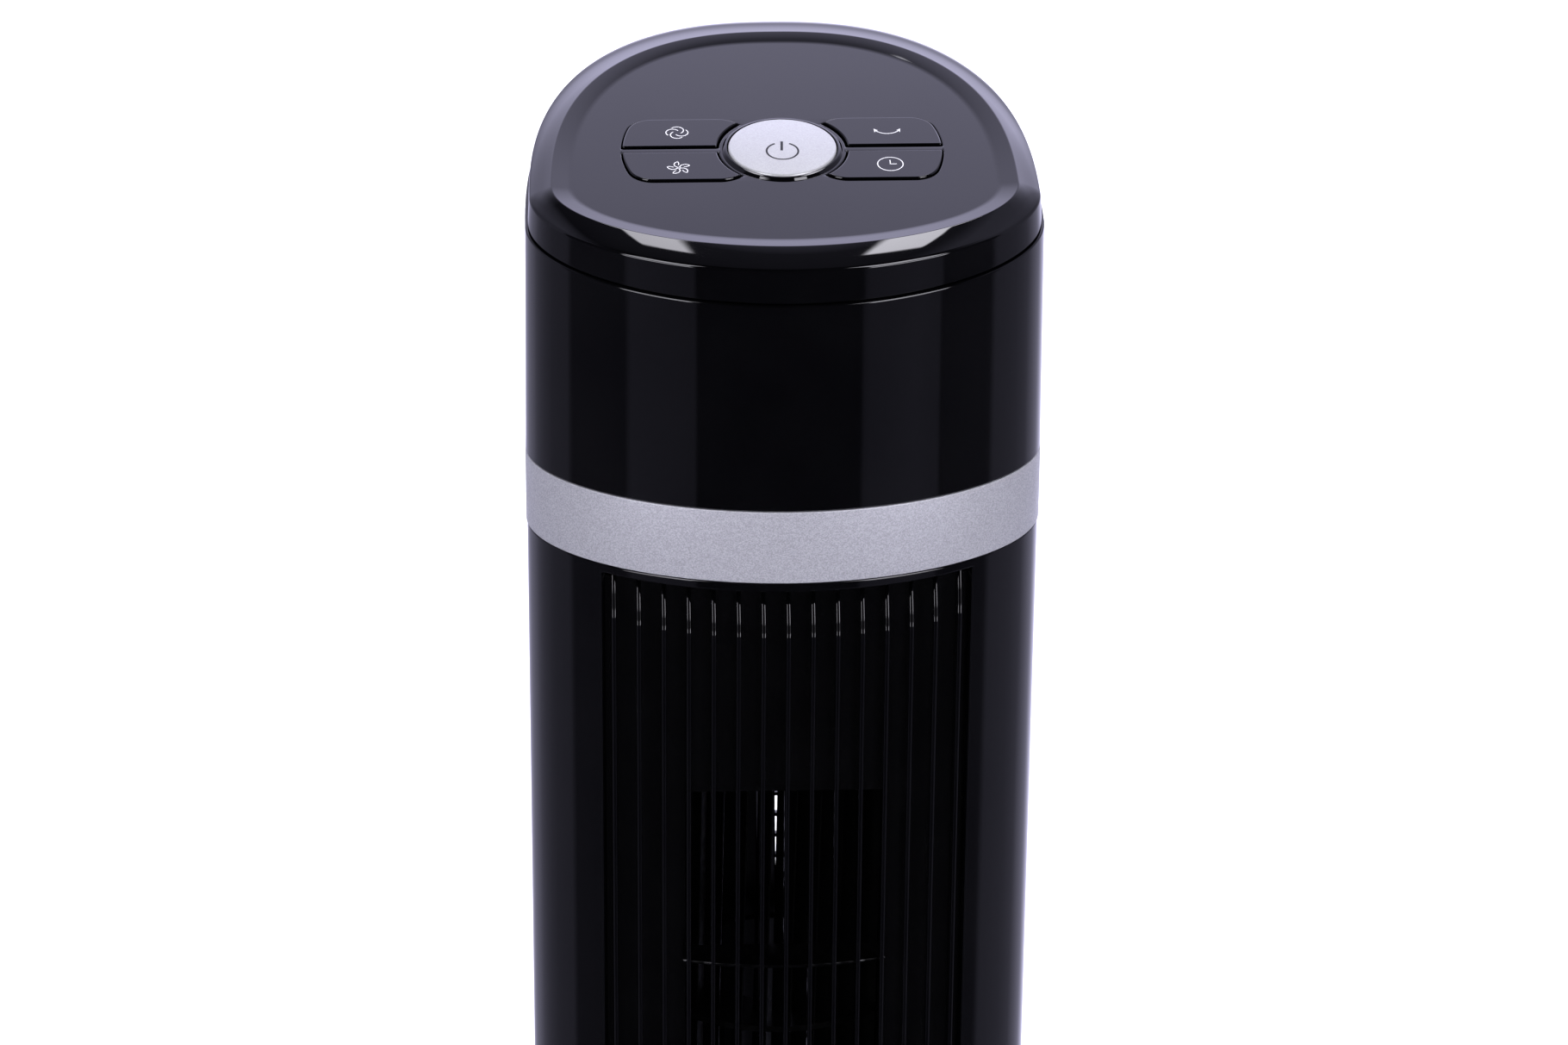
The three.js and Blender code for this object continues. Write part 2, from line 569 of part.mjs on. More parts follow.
function airPath() {
  const { plateY, halfWidth, opening, bottom, top, openingTop } = DUCT;
  const plate = solid(box([-halfWidth, plateY, bottom], [halfWidth, plateY + 2, top]));
  const outlet = solid(box([-opening, plateY - 5, IMPELLER.bottom], [opening, plateY + 5, openingTop]));
  const edge = [];
  for (let k = 0; k <= 8; k++) {
    const x = -opening - 1 + ((2 * opening + 2) * k) / 8;
    edge.push(new THREE.Vector2(x, frontY(x, PARTITION.inset)));
  }
  const partitionPlan = [...edge, new THREE.Vector2(opening + 1, plateY + 1), new THREE.Vector2(-opening - 1, plateY + 1)];
  const partitions = Array.from({ length: PARTITION.count }, (_, i) => {
    const z = PARTITION.top - i * PARTITION.pitch;
    return solid(prism(partitionPlan, z - PARTITION.thickness, z));
  });
  add("duct_frame", union([plate.subtract(outlet), ...partitions]), LOOK.satin);

  // Thin walls bent along a line of points: the tongue on the left, the scroll on the right.
  const bentWall = (points, thickness) => {
    const sides = points.map((p, i) => {
      const before = points[Math.max(0, i - 1)];
      const after = points[Math.min(points.length - 1, i + 1)];
      const length = hypot(after[0] - before[0], after[1] - before[1]);
      const normal = [-(after[1] - before[1]) / length, (after[0] - before[0]) / length];
      return [1, -1].map((s) => new THREE.Vector2(p[0] + (s * normal[0] * thickness) / 2, p[1] + (s * normal[1] * thickness) / 2));
    });
    return prism([...sides.map((s) => s[1]), ...sides.map((s) => s[0]).reverse()], bottom + 0.1, openingTop + 2);
  };
  const tongue = [[-32.5, plateY + 3.4], [-34, -45], [-39, -36], [-47, -33], [-60, -30], [-71, -22]];
  const scroll = [[32.5, plateY + 3.4]];
  for (let k = 0; k <= 8; k++) {
    const share = k / 8;
    const angle = (-52 + 100 * share) * RAD;
    const radius = 62 - 12.5 * share;
    scroll.push([radius * cos(angle), IMPELLER.y + radius * sin(angle)]);
  }
  add("duct_tongue", bentWall(tongue, 1.8), LOOK.satin);
  add("duct_scroll", bentWall(scroll, 1.8), LOOK.satin);

  const deckPlan = (inset) => planPoints(PLAN, inset, 40);
  const middleBlock = (z0, z1) => solid(box([-60, plateY + 2 + GAP, z0], [60, 90, z1]));
  const motorDeck = solid(prism(deckPlan(4.5), 150, 153)).intersect(middleBlock(149, 154));
  add("motor_deck", motorDeck.subtract(solid(rod(22, 140, 160, 24, 0, IMPELLER.y))), LOOK.satin);
  const bearingDeck = solid(prism(deckPlan(4.5), 642, 645)).intersect(middleBlock(641, 646));
  const boss = solid(rod(15, 645, 656, 20, 0, IMPELLER.y));
  const seat = solid(rod(12.3, 640, 660, 20, 0, IMPELLER.y));
  add("bearing_deck", bearingDeck.add(boss).subtract(seat), LOOK.satin);
  add("bearing_rubber", tube(7, 12, 643, 655, 20, 0, IMPELLER.y), LOOK.rubber);
  add("bearing_bush", tube(3.3, 6.7, 642.5, 655.5, 20, 0, IMPELLER.y), LOOK.brass);
}

// ---------------------------------------------------------------- impeller and motor

// One forward-curved blade's plan, bent about the impeller's axis.
function bladePoints(angle) {
  const stations = [0, 0.5, 1].map((t) => {
    const r = IMPELLER.inner + 0.6 + (IMPELLER.radius - IMPELLER.inner - 1.2) * t;
    return [r, angle + 0.2 * t - 0.16 * t * t];
  });
  const outer = stations.map(([r, a]) => new THREE.Vector2(r * cos(a), r * sin(a)));
  const inner = stations.map(([r, a]) => new THREE.Vector2((r + 0.2) * cos(a + 0.026), (r + 0.2) * sin(a + 0.026)));
  return [...outer, ...inner.reverse()];
}

function impeller() {
  for (let s = 0; s < IMPELLER.sections; s++) {
    const z0 = IMPELLER.bottom + s * IMPELLER.section;
    const z1 = z0 + IMPELLER.section - GAP;
    const inner = s === 0 || s === IMPELLER.sections - 1 ? 6.3 : IMPELLER.inner - 8;
    const bottomDisc = s === IMPELLER.sections - 1 ? IMPELLER.inner - 8 : inner;
    const rings = [solid(tube(bottomDisc, IMPELLER.radius, z0, z0 + IMPELLER.disc, 24))];
    if (s === IMPELLER.sections - 1) rings.push(solid(tube(inner, IMPELLER.radius, z1 - IMPELLER.disc, z1, 24)));
    const blades = Array.from({ length: IMPELLER.blades }, (_, i) =>
      solid(prism(bladePoints((2 * PI * i) / IMPELLER.blades), z0 + IMPELLER.disc / 2, z1 - (s < IMPELLER.sections - 1 ? 0 : 1))),
    );
    add(`impeller_section_${s + 1}`, geometryOf(union([...rings, ...blades])).translate(0, IMPELLER.y, 0), LOOK.satin);
  }
  const top = IMPELLER.bottom + IMPELLER.sections * IMPELLER.section - GAP;
  const hub = turned([[4.4, 158], [14, 158], [14, 165.7], [6, 165.7], [6, 182], [4.4, 182]], 18, 0, IMPELLER.y);
  add("impeller_hub", hub, LOOK.rubber);
  const pin = turned([[0, top - 12], [6, top - 12], [6, top + 2], [3, top + 2], [3, 660], [0, 660]], 24, 0, IMPELLER.y);
  add("impeller_top_pin", pin, LOOK.steel);
  const rotor = [[0, 92], [4, 92], [4, 106], [21, 106], [21, 138], [4, 138], [4, 188], [0, 188]];
  add("motor_rotor", turned(rotor, 20, 0, IMPELLER.y), LOOK.steel);
}

function mainMotor() {
  const y = IMPELLER.y;
  const lower = [[4.4, 96], [10, 96], [12, 99], [36, 101], [39, 104], [39, 112], [37, 112], [37, 104.6], [12, 102.4], [4.4, 102.4]];
  add("motor_lower_bell", turned(lower, 24, 0, y), LOOK.steel);
  add("stator_core", tube(34.3, 39, 112.3, 131.7, 24, 0, y), LOOK.steel);
  add("stator_winding", turned([[23, 107], [32, 107], [34, 109], [34, 135], [32, 137], [23, 137]], 24, 0, y), LOOK.copper);
  const upper = [[4.4, 141.6], [12, 141.6], [37, 139.4], [37, 132], [39, 132], [39, 140], [36, 143], [21, 144.6], [21, 149.7], [10, 149.7], [10, 146], [4.4, 146]];
  add("motor_upper_bell", turned(upper, 24, 0, y), LOOK.steel);
  add("run_capacitor", solid(box([-62, -42, 64], [-26, -24, 92])), LOOK.satin);
}

// ---------------------------------------------------------------- wiring

function wiring() {
  const route = [
    [-24, 14, 800], [-44, 10, 792], [-62, 0, 770], [-66.5, -8, 730], [-66.5, -10, 640], [-66.5, -10, 400],
    [-66.5, -10, 200], [-66.5, -8, 120], [-64, -2, 86], [-50, 4, 68], [-30, 4, 64],
  ].map((p) => new THREE.Vector3(...p));
  const path = new THREE.CatmullRomCurve3(route);
  const section = new THREE.Shape(circlePoints(2.2, 8));
  add("wire_harness", new THREE.ExtrudeGeometry(section, { steps: 30, bevelEnabled: false, extrudePath: path }), LOOK.rubber);
}

base();
swivel();
shells();
fan.add(panel);
head();
airPath();
impeller();
mainMotor();
wiring();

export default fan;
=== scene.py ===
"""A black tower fan on a round base, seen from slightly above. Metres, +Z up, front towards -Y."""
import json
import math

import bmesh
import bpy
from mathutils import Matrix, Vector


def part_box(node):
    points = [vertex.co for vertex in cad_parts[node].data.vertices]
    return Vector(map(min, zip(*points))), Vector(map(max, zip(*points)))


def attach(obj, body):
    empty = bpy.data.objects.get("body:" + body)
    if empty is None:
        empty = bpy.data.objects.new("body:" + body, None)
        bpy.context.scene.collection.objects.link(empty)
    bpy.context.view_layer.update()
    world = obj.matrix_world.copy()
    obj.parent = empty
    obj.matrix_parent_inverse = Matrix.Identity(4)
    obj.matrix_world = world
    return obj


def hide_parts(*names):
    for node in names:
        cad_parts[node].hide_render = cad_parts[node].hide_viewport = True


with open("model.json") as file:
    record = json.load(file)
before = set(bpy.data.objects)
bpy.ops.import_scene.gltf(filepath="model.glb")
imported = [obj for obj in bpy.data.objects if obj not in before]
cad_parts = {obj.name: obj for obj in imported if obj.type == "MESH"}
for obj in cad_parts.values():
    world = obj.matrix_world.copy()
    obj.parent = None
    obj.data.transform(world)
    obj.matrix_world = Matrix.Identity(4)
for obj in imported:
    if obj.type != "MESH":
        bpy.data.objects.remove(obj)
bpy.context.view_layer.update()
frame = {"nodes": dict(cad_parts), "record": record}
record = frame["record"]
nodes = frame["nodes"]

MM = 0.001
PI = math.pi
RAD = PI / 180

# -------------------- places and sizes, in millimetres


def box_mm(node):
    """A node's lowest and highest corners in millimetres."""
    return [[round(value / MM, 3) for value in corner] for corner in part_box(node)]


def middle(node):
    return [(a + b) / 2 for a, b in zip(*box_mm(node))]


band_low, band_high = box_mm("trim_band")
rear_low, rear_high = box_mm("rear_grille")
GAP = 0.3  # between pieces that meet
WIDEST_Y = -33
# A plan is a half width, a depth in front of the widest line and a depth behind it.
PLAN = (band_high[0], WIDEST_Y - band_low[1], band_high[1] - WIDEST_Y)
RIDGE_PLAN = (71, 34.6, 91.4)
PANEL_PLAN = (65.3, 30.4, 85.3)
FRONT_POWER = 1.93  # of the plan's superellipse, 2 being an ellipse
BACK_POWER = 2.4
# A slanted plane is its height at the widest line and its slant in degrees.
SLANT = 8.9
SEAM = (822.7, 8.6)
HEAD_TOP = (SEAM[0] - 0.25, SEAM[1])  # the two sides of the seam
CAP_FOOT = (SEAM[0] + 0.25, SEAM[1])
SHOULDER = (831.8, 6.5)
RIDGE = (834.9, SLANT)
PANEL = (834.35, SLANT)
CAP_WALL = 2.4
BAND = (band_low[2], band_high[2])
LOWER_TOP = box_mm("lower_housing")[1][2]
LOWER_FLOOR = (56.2, 59.2)
SHELL_INSET = 0.34
SHELL_WALL = 2.5
SHELL_EDGE = 0.5
HUB_HOLE = 15
SPLIT_Y = -27  # between the front and the rear shell
SCREW_HOLE = 4.2
GRILLE = {"half": 57.2, "bottom": 112, "top": 720.4}
REAR = {"half": rear_high[0] + GAP, "bottom": rear_low[2] - GAP, "top": rear_high[2] + GAP}
BUTTONS_V = 21.1  # up the panel from the widest line
BUTTON_FOOT = -3.6
BUTTON_TOP = 0.6
BUTTON_SHRINK = 0.35
DISC_TOP = 1.1
DISC_RADIUS = 16.7
RING_RADIUS = 19.65
OBLONG = {
    "half": 49.4, "low": 1.3, "height": 18.2, "end": 41.5, "corner": 8, "waist": 19.8, "waist_corner": 9.5,
}
IMPELLER_Y = middle("impeller_section_1")[1]

# -------------------- mesh helpers


def new_object(name, data):
    obj = bpy.data.objects.new(name, data)
    bpy.context.scene.collection.objects.link(obj)
    return obj


def finish_mesh(bm, name, sharp=35):
    """A smooth-shaded object from a bmesh in millimetres. Edges over the sharp angle stay crisp."""
    bmesh.ops.remove_doubles(bm, verts=bm.verts, dist=0.0005)
    bmesh.ops.recalc_face_normals(bm, faces=bm.faces)
    bmesh.ops.scale(bm, vec=(MM, MM, MM), verts=bm.verts)
    mesh = bpy.data.meshes.new(name)
    bm.to_mesh(mesh)
    bm.free()
    mesh.shade_smooth()
    mesh.set_sharp_from_angle(angle=sharp * RAD)
    return new_object(name, mesh)


def join_rings(bm, low, high):
    """A strip of quads between two closed rings of vertices."""
    for i in range(len(low)):
        j = (i + 1) % len(low)
        bm.faces.new((low[i], low[j], high[j], high[i]))


def loft_into(bm, rings, closed_loop=False, caps=False):
    """Quads between closed rings of points. closed_loop joins the last ring to the first."""
    made = [[bm.verts.new(p) for p in ring] for ring in rings]
    for low, high in zip(made, made[1:] + made[:1] if closed_loop else made[1:]):
        join_rings(bm, low, high)
    if caps:
        bm.faces.new(list(reversed(made[0])))
        bm.faces.new(made[-1])
    return made


def rounded(corners, closed=True, steps=5):
    """A polyline whose corners, given as (a, b, radius), are rounded by arcs."""
    out = []
    count = len(corners)
    for i, (a, b, radius) in enumerate(corners):
        p = Vector((a, b))
        if radius <= 0 or (not closed and i in (0, count - 1)):
            out.append(p)
            continue
        before = Vector(corners[i - 1][:2]) - p
        after = Vector(corners[(i + 1) % count][:2]) - p
        half = before.angle(after) / 2
        reach = min(radius / math.tan(half), before.length * 0.49, after.length * 0.49)
        r = reach * math.tan(half)
        centre = p + (before.normalized() + after.normalized()).normalized() * (r / math.sin(half))
        start = p + before.normalized() * reach - centre
        end = p + after.normalized() * reach - centre
        turn = start.angle_signed(end)
        for k in range(steps + 1):
            out.append(centre + Matrix.Rotation(-turn * k / steps, 2) @ start)
    return out


def slab(face, back, low, high, face_radius, back_radius, steps=5):
    """A section from its face to its back, with rounded corners, as points of depth and height."""
    corners = [(face, low, face_radius), (face, high, face_radius)]
    corners += [(back, high, back_radius), (back, low, back_radius)]
    return rounded(corners, steps=steps)


def spread(low, high, count):
    """Equal steps from low to high, with both ends."""
    return [low + (high - low) * i / count for i in range(count + 1)]


def even_turns(count):
    return [2 * PI * i / count for i in range(count)]


def circle(radius, z, segments, centre=(0, 0)):
    """A level ring of points."""
    turns = even_turns(segments)
    return [(centre[0] + radius * math.cos(t), centre[1] + radius * math.sin(t), z) for t in turns]


def lathe(name, profile, segments, centre=(0, 0), steps=5, ring=True):
    """A turned piece from a profile of (radius, z, corner radius). A ring's profile is a closed loop."""
    outline = rounded(profile, closed=ring, steps=steps)
    bm = bmesh.new()
    rings = [circle(r, z, segments, centre) for r, z in outline]
    loft_into(bm, rings, closed_loop=ring, caps=not ring)
    return finish_mesh(bm, name)


def plan_point(size, inset, t):
    """A point of the tower's plan outline. t runs anticlockwise from the right-hand side."""
    c, s = math.cos(t), math.sin(t)
    depth = (size[1] if s < 0 else size[2]) - inset
    power = FRONT_POWER if s < 0 else BACK_POWER
    x = (size[0] - inset) * math.copysign(abs(c) ** (2 / power), c)
    y = WIDEST_Y + depth * math.copysign(abs(s) ** (2 / power), s)
    return x, y


def t_at_x(x, inset, power):
    """How far round the plan passes a given x, behind the widest line. Its negative is the place in front."""
    return math.acos(math.copysign(abs(x / (PLAN[0] - inset)) ** (power / 2), x))


def t_at_y(y, inset):
    """How far round the plan passes a given y behind the widest line, on the right-hand side."""
    return math.asin(((y - WIDEST_Y) / (PLAN[2] - inset)) ** (BACK_POWER / 2))


def front_y(x, inset):
    return plan_point(PLAN, inset, -t_at_x(x, inset, FRONT_POWER))[1]


def ring_at(size, inset, plane, count=256):
    """A ring of points on a plan, at a height or on a slanted plane."""
    z, slant = plane if isinstance(plane, tuple) else (plane, 0)
    rise = math.tan(slant * RAD)
    out = []
    for t in even_turns(count):
        x, y = plan_point(size, inset, t)
        out.append((x, y, z + (y - WIDEST_Y) * rise))
    return out


def mix_rings(a, b, share):
    return [tuple(p + (q - p) * share for p, q in zip(u, v)) for u, v in zip(a, b)]


def flatten(obj):
    """Shades the large flat faces flat and leaves the bending to the narrow ones beside them."""
    mod = obj.modifiers.new("flatten", "WEIGHTED_NORMAL")
    mod.keep_sharp = True
    mod.weight = 80


def bevel(obj, width):
    """Rounds the edges of a finished mesh, in millimetres."""
    mod = obj.modifiers.new("edges", "BEVEL")
    mod.width = width * MM
    mod.segments = 3
    mod.limit_method = "ANGLE"
    mod.angle_limit = 40 * RAD
    mod.harden_normals = True


def apply_modifiers(obj):
    graph = bpy.context.evaluated_depsgraph_get()
    mesh = bpy.data.meshes.new_from_object(obj.evaluated_get(graph))
    obj.modifiers.clear()
    old = obj.data
    obj.data = mesh
    bpy.data.meshes.remove(old)


def thicken(obj, thickness, even=False):
    """Turns a sheet into a wall, in millimetres."""
    mod = obj.modifiers.new("wall", "SOLIDIFY")
    mod.thickness = thickness * MM
    mod.offset = -1
    mod.use_even_offset = even
    apply_modifiers(obj)


def drill(obj, radius, depth, start):
    """Cuts a round hole backwards from a starting point, in millimetres."""
    cutter = lathe("hole", [(0, 0, 0), (radius, 0, 0), (radius, depth, 0), (0, depth, 0)], 48, ring=False)
    cutter.data.transform(Matrix.Translation(Vector(start) * MM) @ Matrix.Rotation(-PI / 2, 4, "X"))
    mod = obj.modifiers.new("cut", "BOOLEAN")
    mod.operation = "DIFFERENCE"
    mod.solver = "EXACT"
    mod.object = cutter
    apply_modifiers(obj)
    bpy.data.objects.remove(cutter)


# -------------------- materials


def map_range(tree, value, low, high, out_low=0, out_high=1):
    """A node that maps low to high onto out_low to out_high, and goes no further."""
    node = tree.nodes.new("ShaderNodeMapRange")
    limits = {"From Min": low, "From Max": high, "To Min": out_low, "To Max": out_high}
    for key, limit in limits.items():
        node.inputs[key].default_value = limit
    tree.links.new(value, node.inputs["Value"])
    return node


class Shader:
    """A Principled material and the noise, cell and bump nodes that drive it."""

    def __init__(self, name, color, roughness, metallic=0.0, specular=0.5, coat=0.0, coat_roughness=0.03):
        self.material = bpy.data.materials.new(name)
        self.material.use_nodes = True
        self.tree = self.material.node_tree
        self.bsdf = self.tree.nodes["Principled BSDF"]
        settings = {
            "Base Color": (*color, 1), "Roughness": roughness, "Metallic": metallic, "IOR": 1.5,
            "Specular IOR Level": specular, "Coat Weight": coat, "Coat Roughness": coat_roughness,
        }
        for key, value in settings.items():
            self.bsdf.inputs[key].default_value = value
        self.normal = None
        self.coord = self.add("ShaderNodeTexCoord")

    def add(self, kind):
        return self.tree.nodes.new(kind)

    def link(self, a, b):
        self.tree.links.new(a, b)

    def noise(self, scale, detail=2.0, rough=0.5, stretch=None):
        node = self.add("ShaderNodeTexNoise")
        node.inputs["Scale"].default_value = scale
        node.inputs["Detail"].default_value = detail
        node.inputs["Roughness"].default_value = rough
        source = self.coord.outputs["Object"]
        if stretch:
            mapping = self.add("ShaderNodeMapping")
            mapping.inputs["Scale"].default_value = stretch
            self.link(source, mapping.inputs["Vector"])
            source = mapping.outputs["Vector"]
        self.link(source, node.inputs["Vector"])
        return node.outputs["Fac"]

    def cells(self, scale):
        node = self.add("ShaderNodeTexVoronoi")
        node.inputs["Scale"].default_value = scale
        self.link(self.coord.outputs["Object"], node.inputs["Vector"])
        return node

    def vary_roughness(self, value, smoothest, roughest, low=0.3, high=0.7):
        node = map_range(self.tree, value, low, high, smoothest, roughest)
        self.link(node.outputs["Result"], self.bsdf.inputs["Roughness"])

    def vary_color(self, value, dark, light, low=0.3, high=0.7):
        ramp = self.add("ShaderNodeValToRGB")
        for element, at, color in zip(ramp.color_ramp.elements, (low, high), (dark, light)):
            element.position = at
            element.color = (*color, 1)
        self.link(value, ramp.inputs["Fac"])
        self.link(ramp.outputs["Color"], self.bsdf.inputs["Base Color"])

    def bump(self, value, distance, strength=1.0):
        node = self.add("ShaderNodeBump")
        node.inputs["Distance"].default_value = distance
        node.inputs["Strength"].default_value = strength
        self.link(value, node.inputs["Height"])
        if self.normal:
            self.link(self.normal, node.inputs["Normal"])
        self.normal = node.outputs["Normal"]
        self.link(self.normal, self.bsdf.inputs["Normal"])


def gloss_black():
    s = Shader("gloss_black", (0.0006, 0.0006, 0.0008), 0.02)
    s.vary_color(s.noise(35, 3), (0.0004, 0.0004, 0.0006), (0.0009, 0.0009, 0.0011))
    s.vary_roughness(s.noise(90, 4, 0.6), 0.014, 0.026, 0.3, 0.75)
    s.bump(s.noise(260, 1), 0.000002, 0.25)
    return s.material


def satin_black():
    s = Shader("satin_black", (0.006, 0.006, 0.007), 0.35)
    s.vary_color(s.noise(60, 3), (0.005, 0.005, 0.006), (0.008, 0.008, 0.009))
    s.vary_roughness(s.noise(400, 2), 0.3, 0.42)
    s.bump(s.noise(2600, 2), 0.00002, 0.4)
    return s.material


def inner_black():
    s = Shader("inner_black", (0.002, 0.002, 0.0025), 0.2, specular=0.45)
    s.vary_color(s.noise(60, 3), (0.0012, 0.0012, 0.0015), (0.0022, 0.0022, 0.0026))
    s.vary_roughness(s.noise(200, 2), 0.16, 0.26)
    s.bump(s.noise(900, 2), 0.00001, 0.2)
    return s.material


def rotor_black():
    s = Shader("rotor_black", (0.0015, 0.0015, 0.0018), 0.4, specular=0.12)
    s.vary_color(s.noise(40, 3), (0.001, 0.001, 0.0012), (0.002, 0.002, 0.0023))
    s.vary_roughness(s.noise(300, 2), 0.34, 0.46)
    s.bump(s.noise(1200, 2), 0.00001, 0.2)
    return s.material


def metallic_paint(name, low, high, rough, metallic, grain, tilt, waviness):
    """Silver paint: fine flakes, each with its own shade and tilt, under a thin clear coat."""
    s = Shader(name, high, 0.35, metallic=metallic, coat=0.25, coat_roughness=0.12)
    flakes = s.cells(grain)
    shade = s.add("ShaderNodeSeparateColor")
    s.link(flakes.outputs["Color"], shade.inputs["Color"])
    s.vary_color(shade.outputs["Red"], low, high, 0.1, 0.9)
    s.vary_roughness(shade.outputs["Green"], *rough, 0, 1)
    s.bump(shade.outputs["Blue"], 0.00006, tilt)
    s.bump(s.noise(700, 2), 0.00003, waviness)
    return s.material


def print_ink(name, color, specular):
    s = Shader(name, color, 0.45, specular=specular)
    s.vary_color(s.noise(2500, 2), tuple(0.93 * c for c in color), color)
    s.bump(s.noise(3000, 1), 0.000005, 0.3)
    return s.material


def rubber():
    s = Shader("rubber", (0.012, 0.012, 0.012), 0.8)
    s.vary_color(s.noise(120, 4), (0.009, 0.009, 0.009), (0.02, 0.02, 0.02))
    s.vary_roughness(s.noise(500, 2), 0.65, 0.9)
    s.bump(s.noise(1500, 3), 0.00008, 0.5)
    return s.material


def steel():
    s = Shader("steel", (0.5, 0.5, 0.52), 0.3, metallic=1.0)
    s.vary_color(s.noise(30, 4), (0.42, 0.42, 0.44), (0.56, 0.56, 0.58))
    s.vary_roughness(s.noise(700, 2, stretch=(1, 1, 8)), 0.22, 0.42)
    s.bump(s.noise(1200, 2, stretch=(1, 1, 10)), 0.00001, 0.3)
    return s.material


def copper():
    s = Shader("copper", (0.45, 0.18, 0.07), 0.35, metallic=1.0)
    s.vary_color(s.noise(900, 2, stretch=(1, 1, 0.1)), (0.3, 0.1, 0.04), (0.55, 0.24, 0.1))
    s.bump(s.noise(1800, 1, stretch=(1, 1, 0.05)), 0.0001, 0.6)
    return s.material


def circuit_board():
    s = Shader("circuit_board", (0.02, 0.12, 0.05), 0.35)
    s.vary_color(s.noise(300, 5, 0.7), (0.012, 0.08, 0.03), (0.03, 0.17, 0.07), 0.45, 0.55)
    s.bump(s.noise(300, 5, 0.7), 0.00003, 0.5)
    return s.material


def nylon():
    s = Shader("nylon", (0.62, 0.59, 0.5), 0.45)
    s.bsdf.inputs["Subsurface Weight"].default_value = 0.1
    s.bsdf.inputs["Subsurface Radius"].default_value = (0.001, 0.001, 0.0008)
    s.vary_color(s.noise(80, 3), (0.55, 0.52, 0.44), (0.66, 0.63, 0.55))
    s.bump(s.noise(1500, 2), 0.00001, 0.3)
    return s.material


def bronze():
    s = Shader("bronze", (0.5, 0.34, 0.14), 0.4, metallic=1.0)
    s.vary_color(s.noise(900, 4, 0.7), (0.36, 0.22, 0.08), (0.58, 0.42, 0.2))
    s.bump(s.noise(1800, 3), 0.00003, 0.5)
    return s.material


GLOSS = gloss_black()
SATIN = satin_black()
INNER = inner_black()
ROTOR_BLACK = rotor_black()
SILVER = metallic_paint(
    "silver_paint", (0.24, 0.24, 0.268), (0.345, 0.345, 0.382), rough=(0.38, 0.52), metallic=0.3, grain=3300,
    tilt=0.35, waviness=0.25,
)
DISC_SILVER = metallic_paint(
    "disc_silver", (0.32, 0.323, 0.334), (0.37, 0.373, 0.385), rough=(0.3, 0.4), metallic=0.5, grain=3800,
    tilt=0.15, waviness=0.04,
)
ICON_LIGHT = print_ink("icon_light", (0.5, 0.5, 0.53), 0.5)
ICON_DARK = print_ink("icon_dark", (0.01, 0.009, 0.012), 0.2)
BY_SLOT = {
    "gloss_black": GLOSS,
    "satin_black": SATIN,
    "silver_paint": SILVER,
    "steel": steel(),
    "copper": copper(),
    "rubber": rubber(),
    "circuit_board": circuit_board(),
    "nylon": nylon(),
    "bronze": bronze(),
}
for entry in record["subparts"]:
    data = nodes[entry["node"]].data
    data.materials.clear()
    data.materials.append(BY_SLOT[entry["material_slot"]])


def dress(obj, material, body, replaced=()):
    """Gives a piece its material and body, and hides the nodes it stands for."""
    obj.data.materials.clear()
    obj.data.materials.append(material)
    if replaced:
        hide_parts(*replaced)
    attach(obj, body)


# -------------------- camera, floor and light

CAMERA_AT = (-0.0760, -1.6415, 1.5111)
camera = new_object("camera", bpy.data.cameras.new("camera"))
azimuth, elevation, roll = 2.721 * RAD, 26.15 * RAD, 0.472 * RAD
forward = Vector(
    (math.sin(azimuth) * math.cos(elevation), math.cos(azimuth) * math.cos(elevation), -math.sin(elevation))
)
right = Vector((math.cos(azimuth), -math.sin(azimuth), 0))
up = right.cross(forward)
rolled_right = right * math.cos(roll) + up * math.sin(roll)
rolled_up = up * math.cos(roll) - right * math.sin(roll)
turn = Matrix((rolled_right, rolled_up, -forward)).transposed()
camera.matrix_world = Matrix.Translation(CAMERA_AT) @ turn.to_4x4()
camera.data.lens = 131.8
camera.data.sensor_width = 36
camera.data.clip_end = 50
bpy.context.scene.camera = camera

floor_mesh = bpy.data.meshes.new("floor")
floor_mesh.from_pydata([(-9, -9, 0), (9, -9, 0), (9, 9, 0), (-9, 9, 0)], [], [(0, 1, 2, 3)])
floor = new_object("floor", floor_mesh)
floor_shader = Shader("floor", (0.86, 0.86, 0.88), 0.9)
floor_shader.vary_color(floor_shader.noise(3, 2), (0.85, 0.85, 0.87), (0.87, 0.87, 0.89))
floor_mesh.materials.append(floor_shader.material)
floor.visible_glossy = False

LAVENDER = (1.0, 0.975, 1.34)
WHITE = (1.0, 0.985, 1.08)
HIGHEST_LEVEL = 4
LOW_TOP = (-14, -4)  # where the low levels give way to those of the backdrop and the side walls
SIDE_TOP = (66, 56)  # where the side walls end
# Levels of light by degrees of azimuth or elevation.
LOW_BY_AZIMUTH = [
    (-180, 0.025), (-154.2, 0.025), (-153.6, 0.13), (-131, 0.17), (-129.6, 0.16), (-129, 0.06), (-98, 0.07),
    (-94, 0.2), (-79, 0.2), (-64, 0.27), (-56, 0.33), (-48, 0.44), (-30, 0.5), (-20, 0.62), (-10, 0.95),
    (0, 1.1), (15, 1.25), (25, 1.15), (34, 0.9), (42, 0.6), (51, 0.52), (59, 0.42), (66, 0.28), (80, 0.23),
    (99, 0.22), (103, 0.06), (128.4, 0.05), (129.2, 0.15), (138, 0.18), (154.6, 0.14), (155.2, 0.025),
    (180, 0.025),
]
BACK_BY_AZIMUTH = [
    (-50, 0), (-42, 0.06), (-35, 0.16), (-28, 0.4), (-22, 0.58), (-16, 0.75), (-8, 0.95), (0, 1), (14, 1),
    (24, 0.95), (29, 0.6), (35, 0.25), (42, 0.1), (52, 0),
]
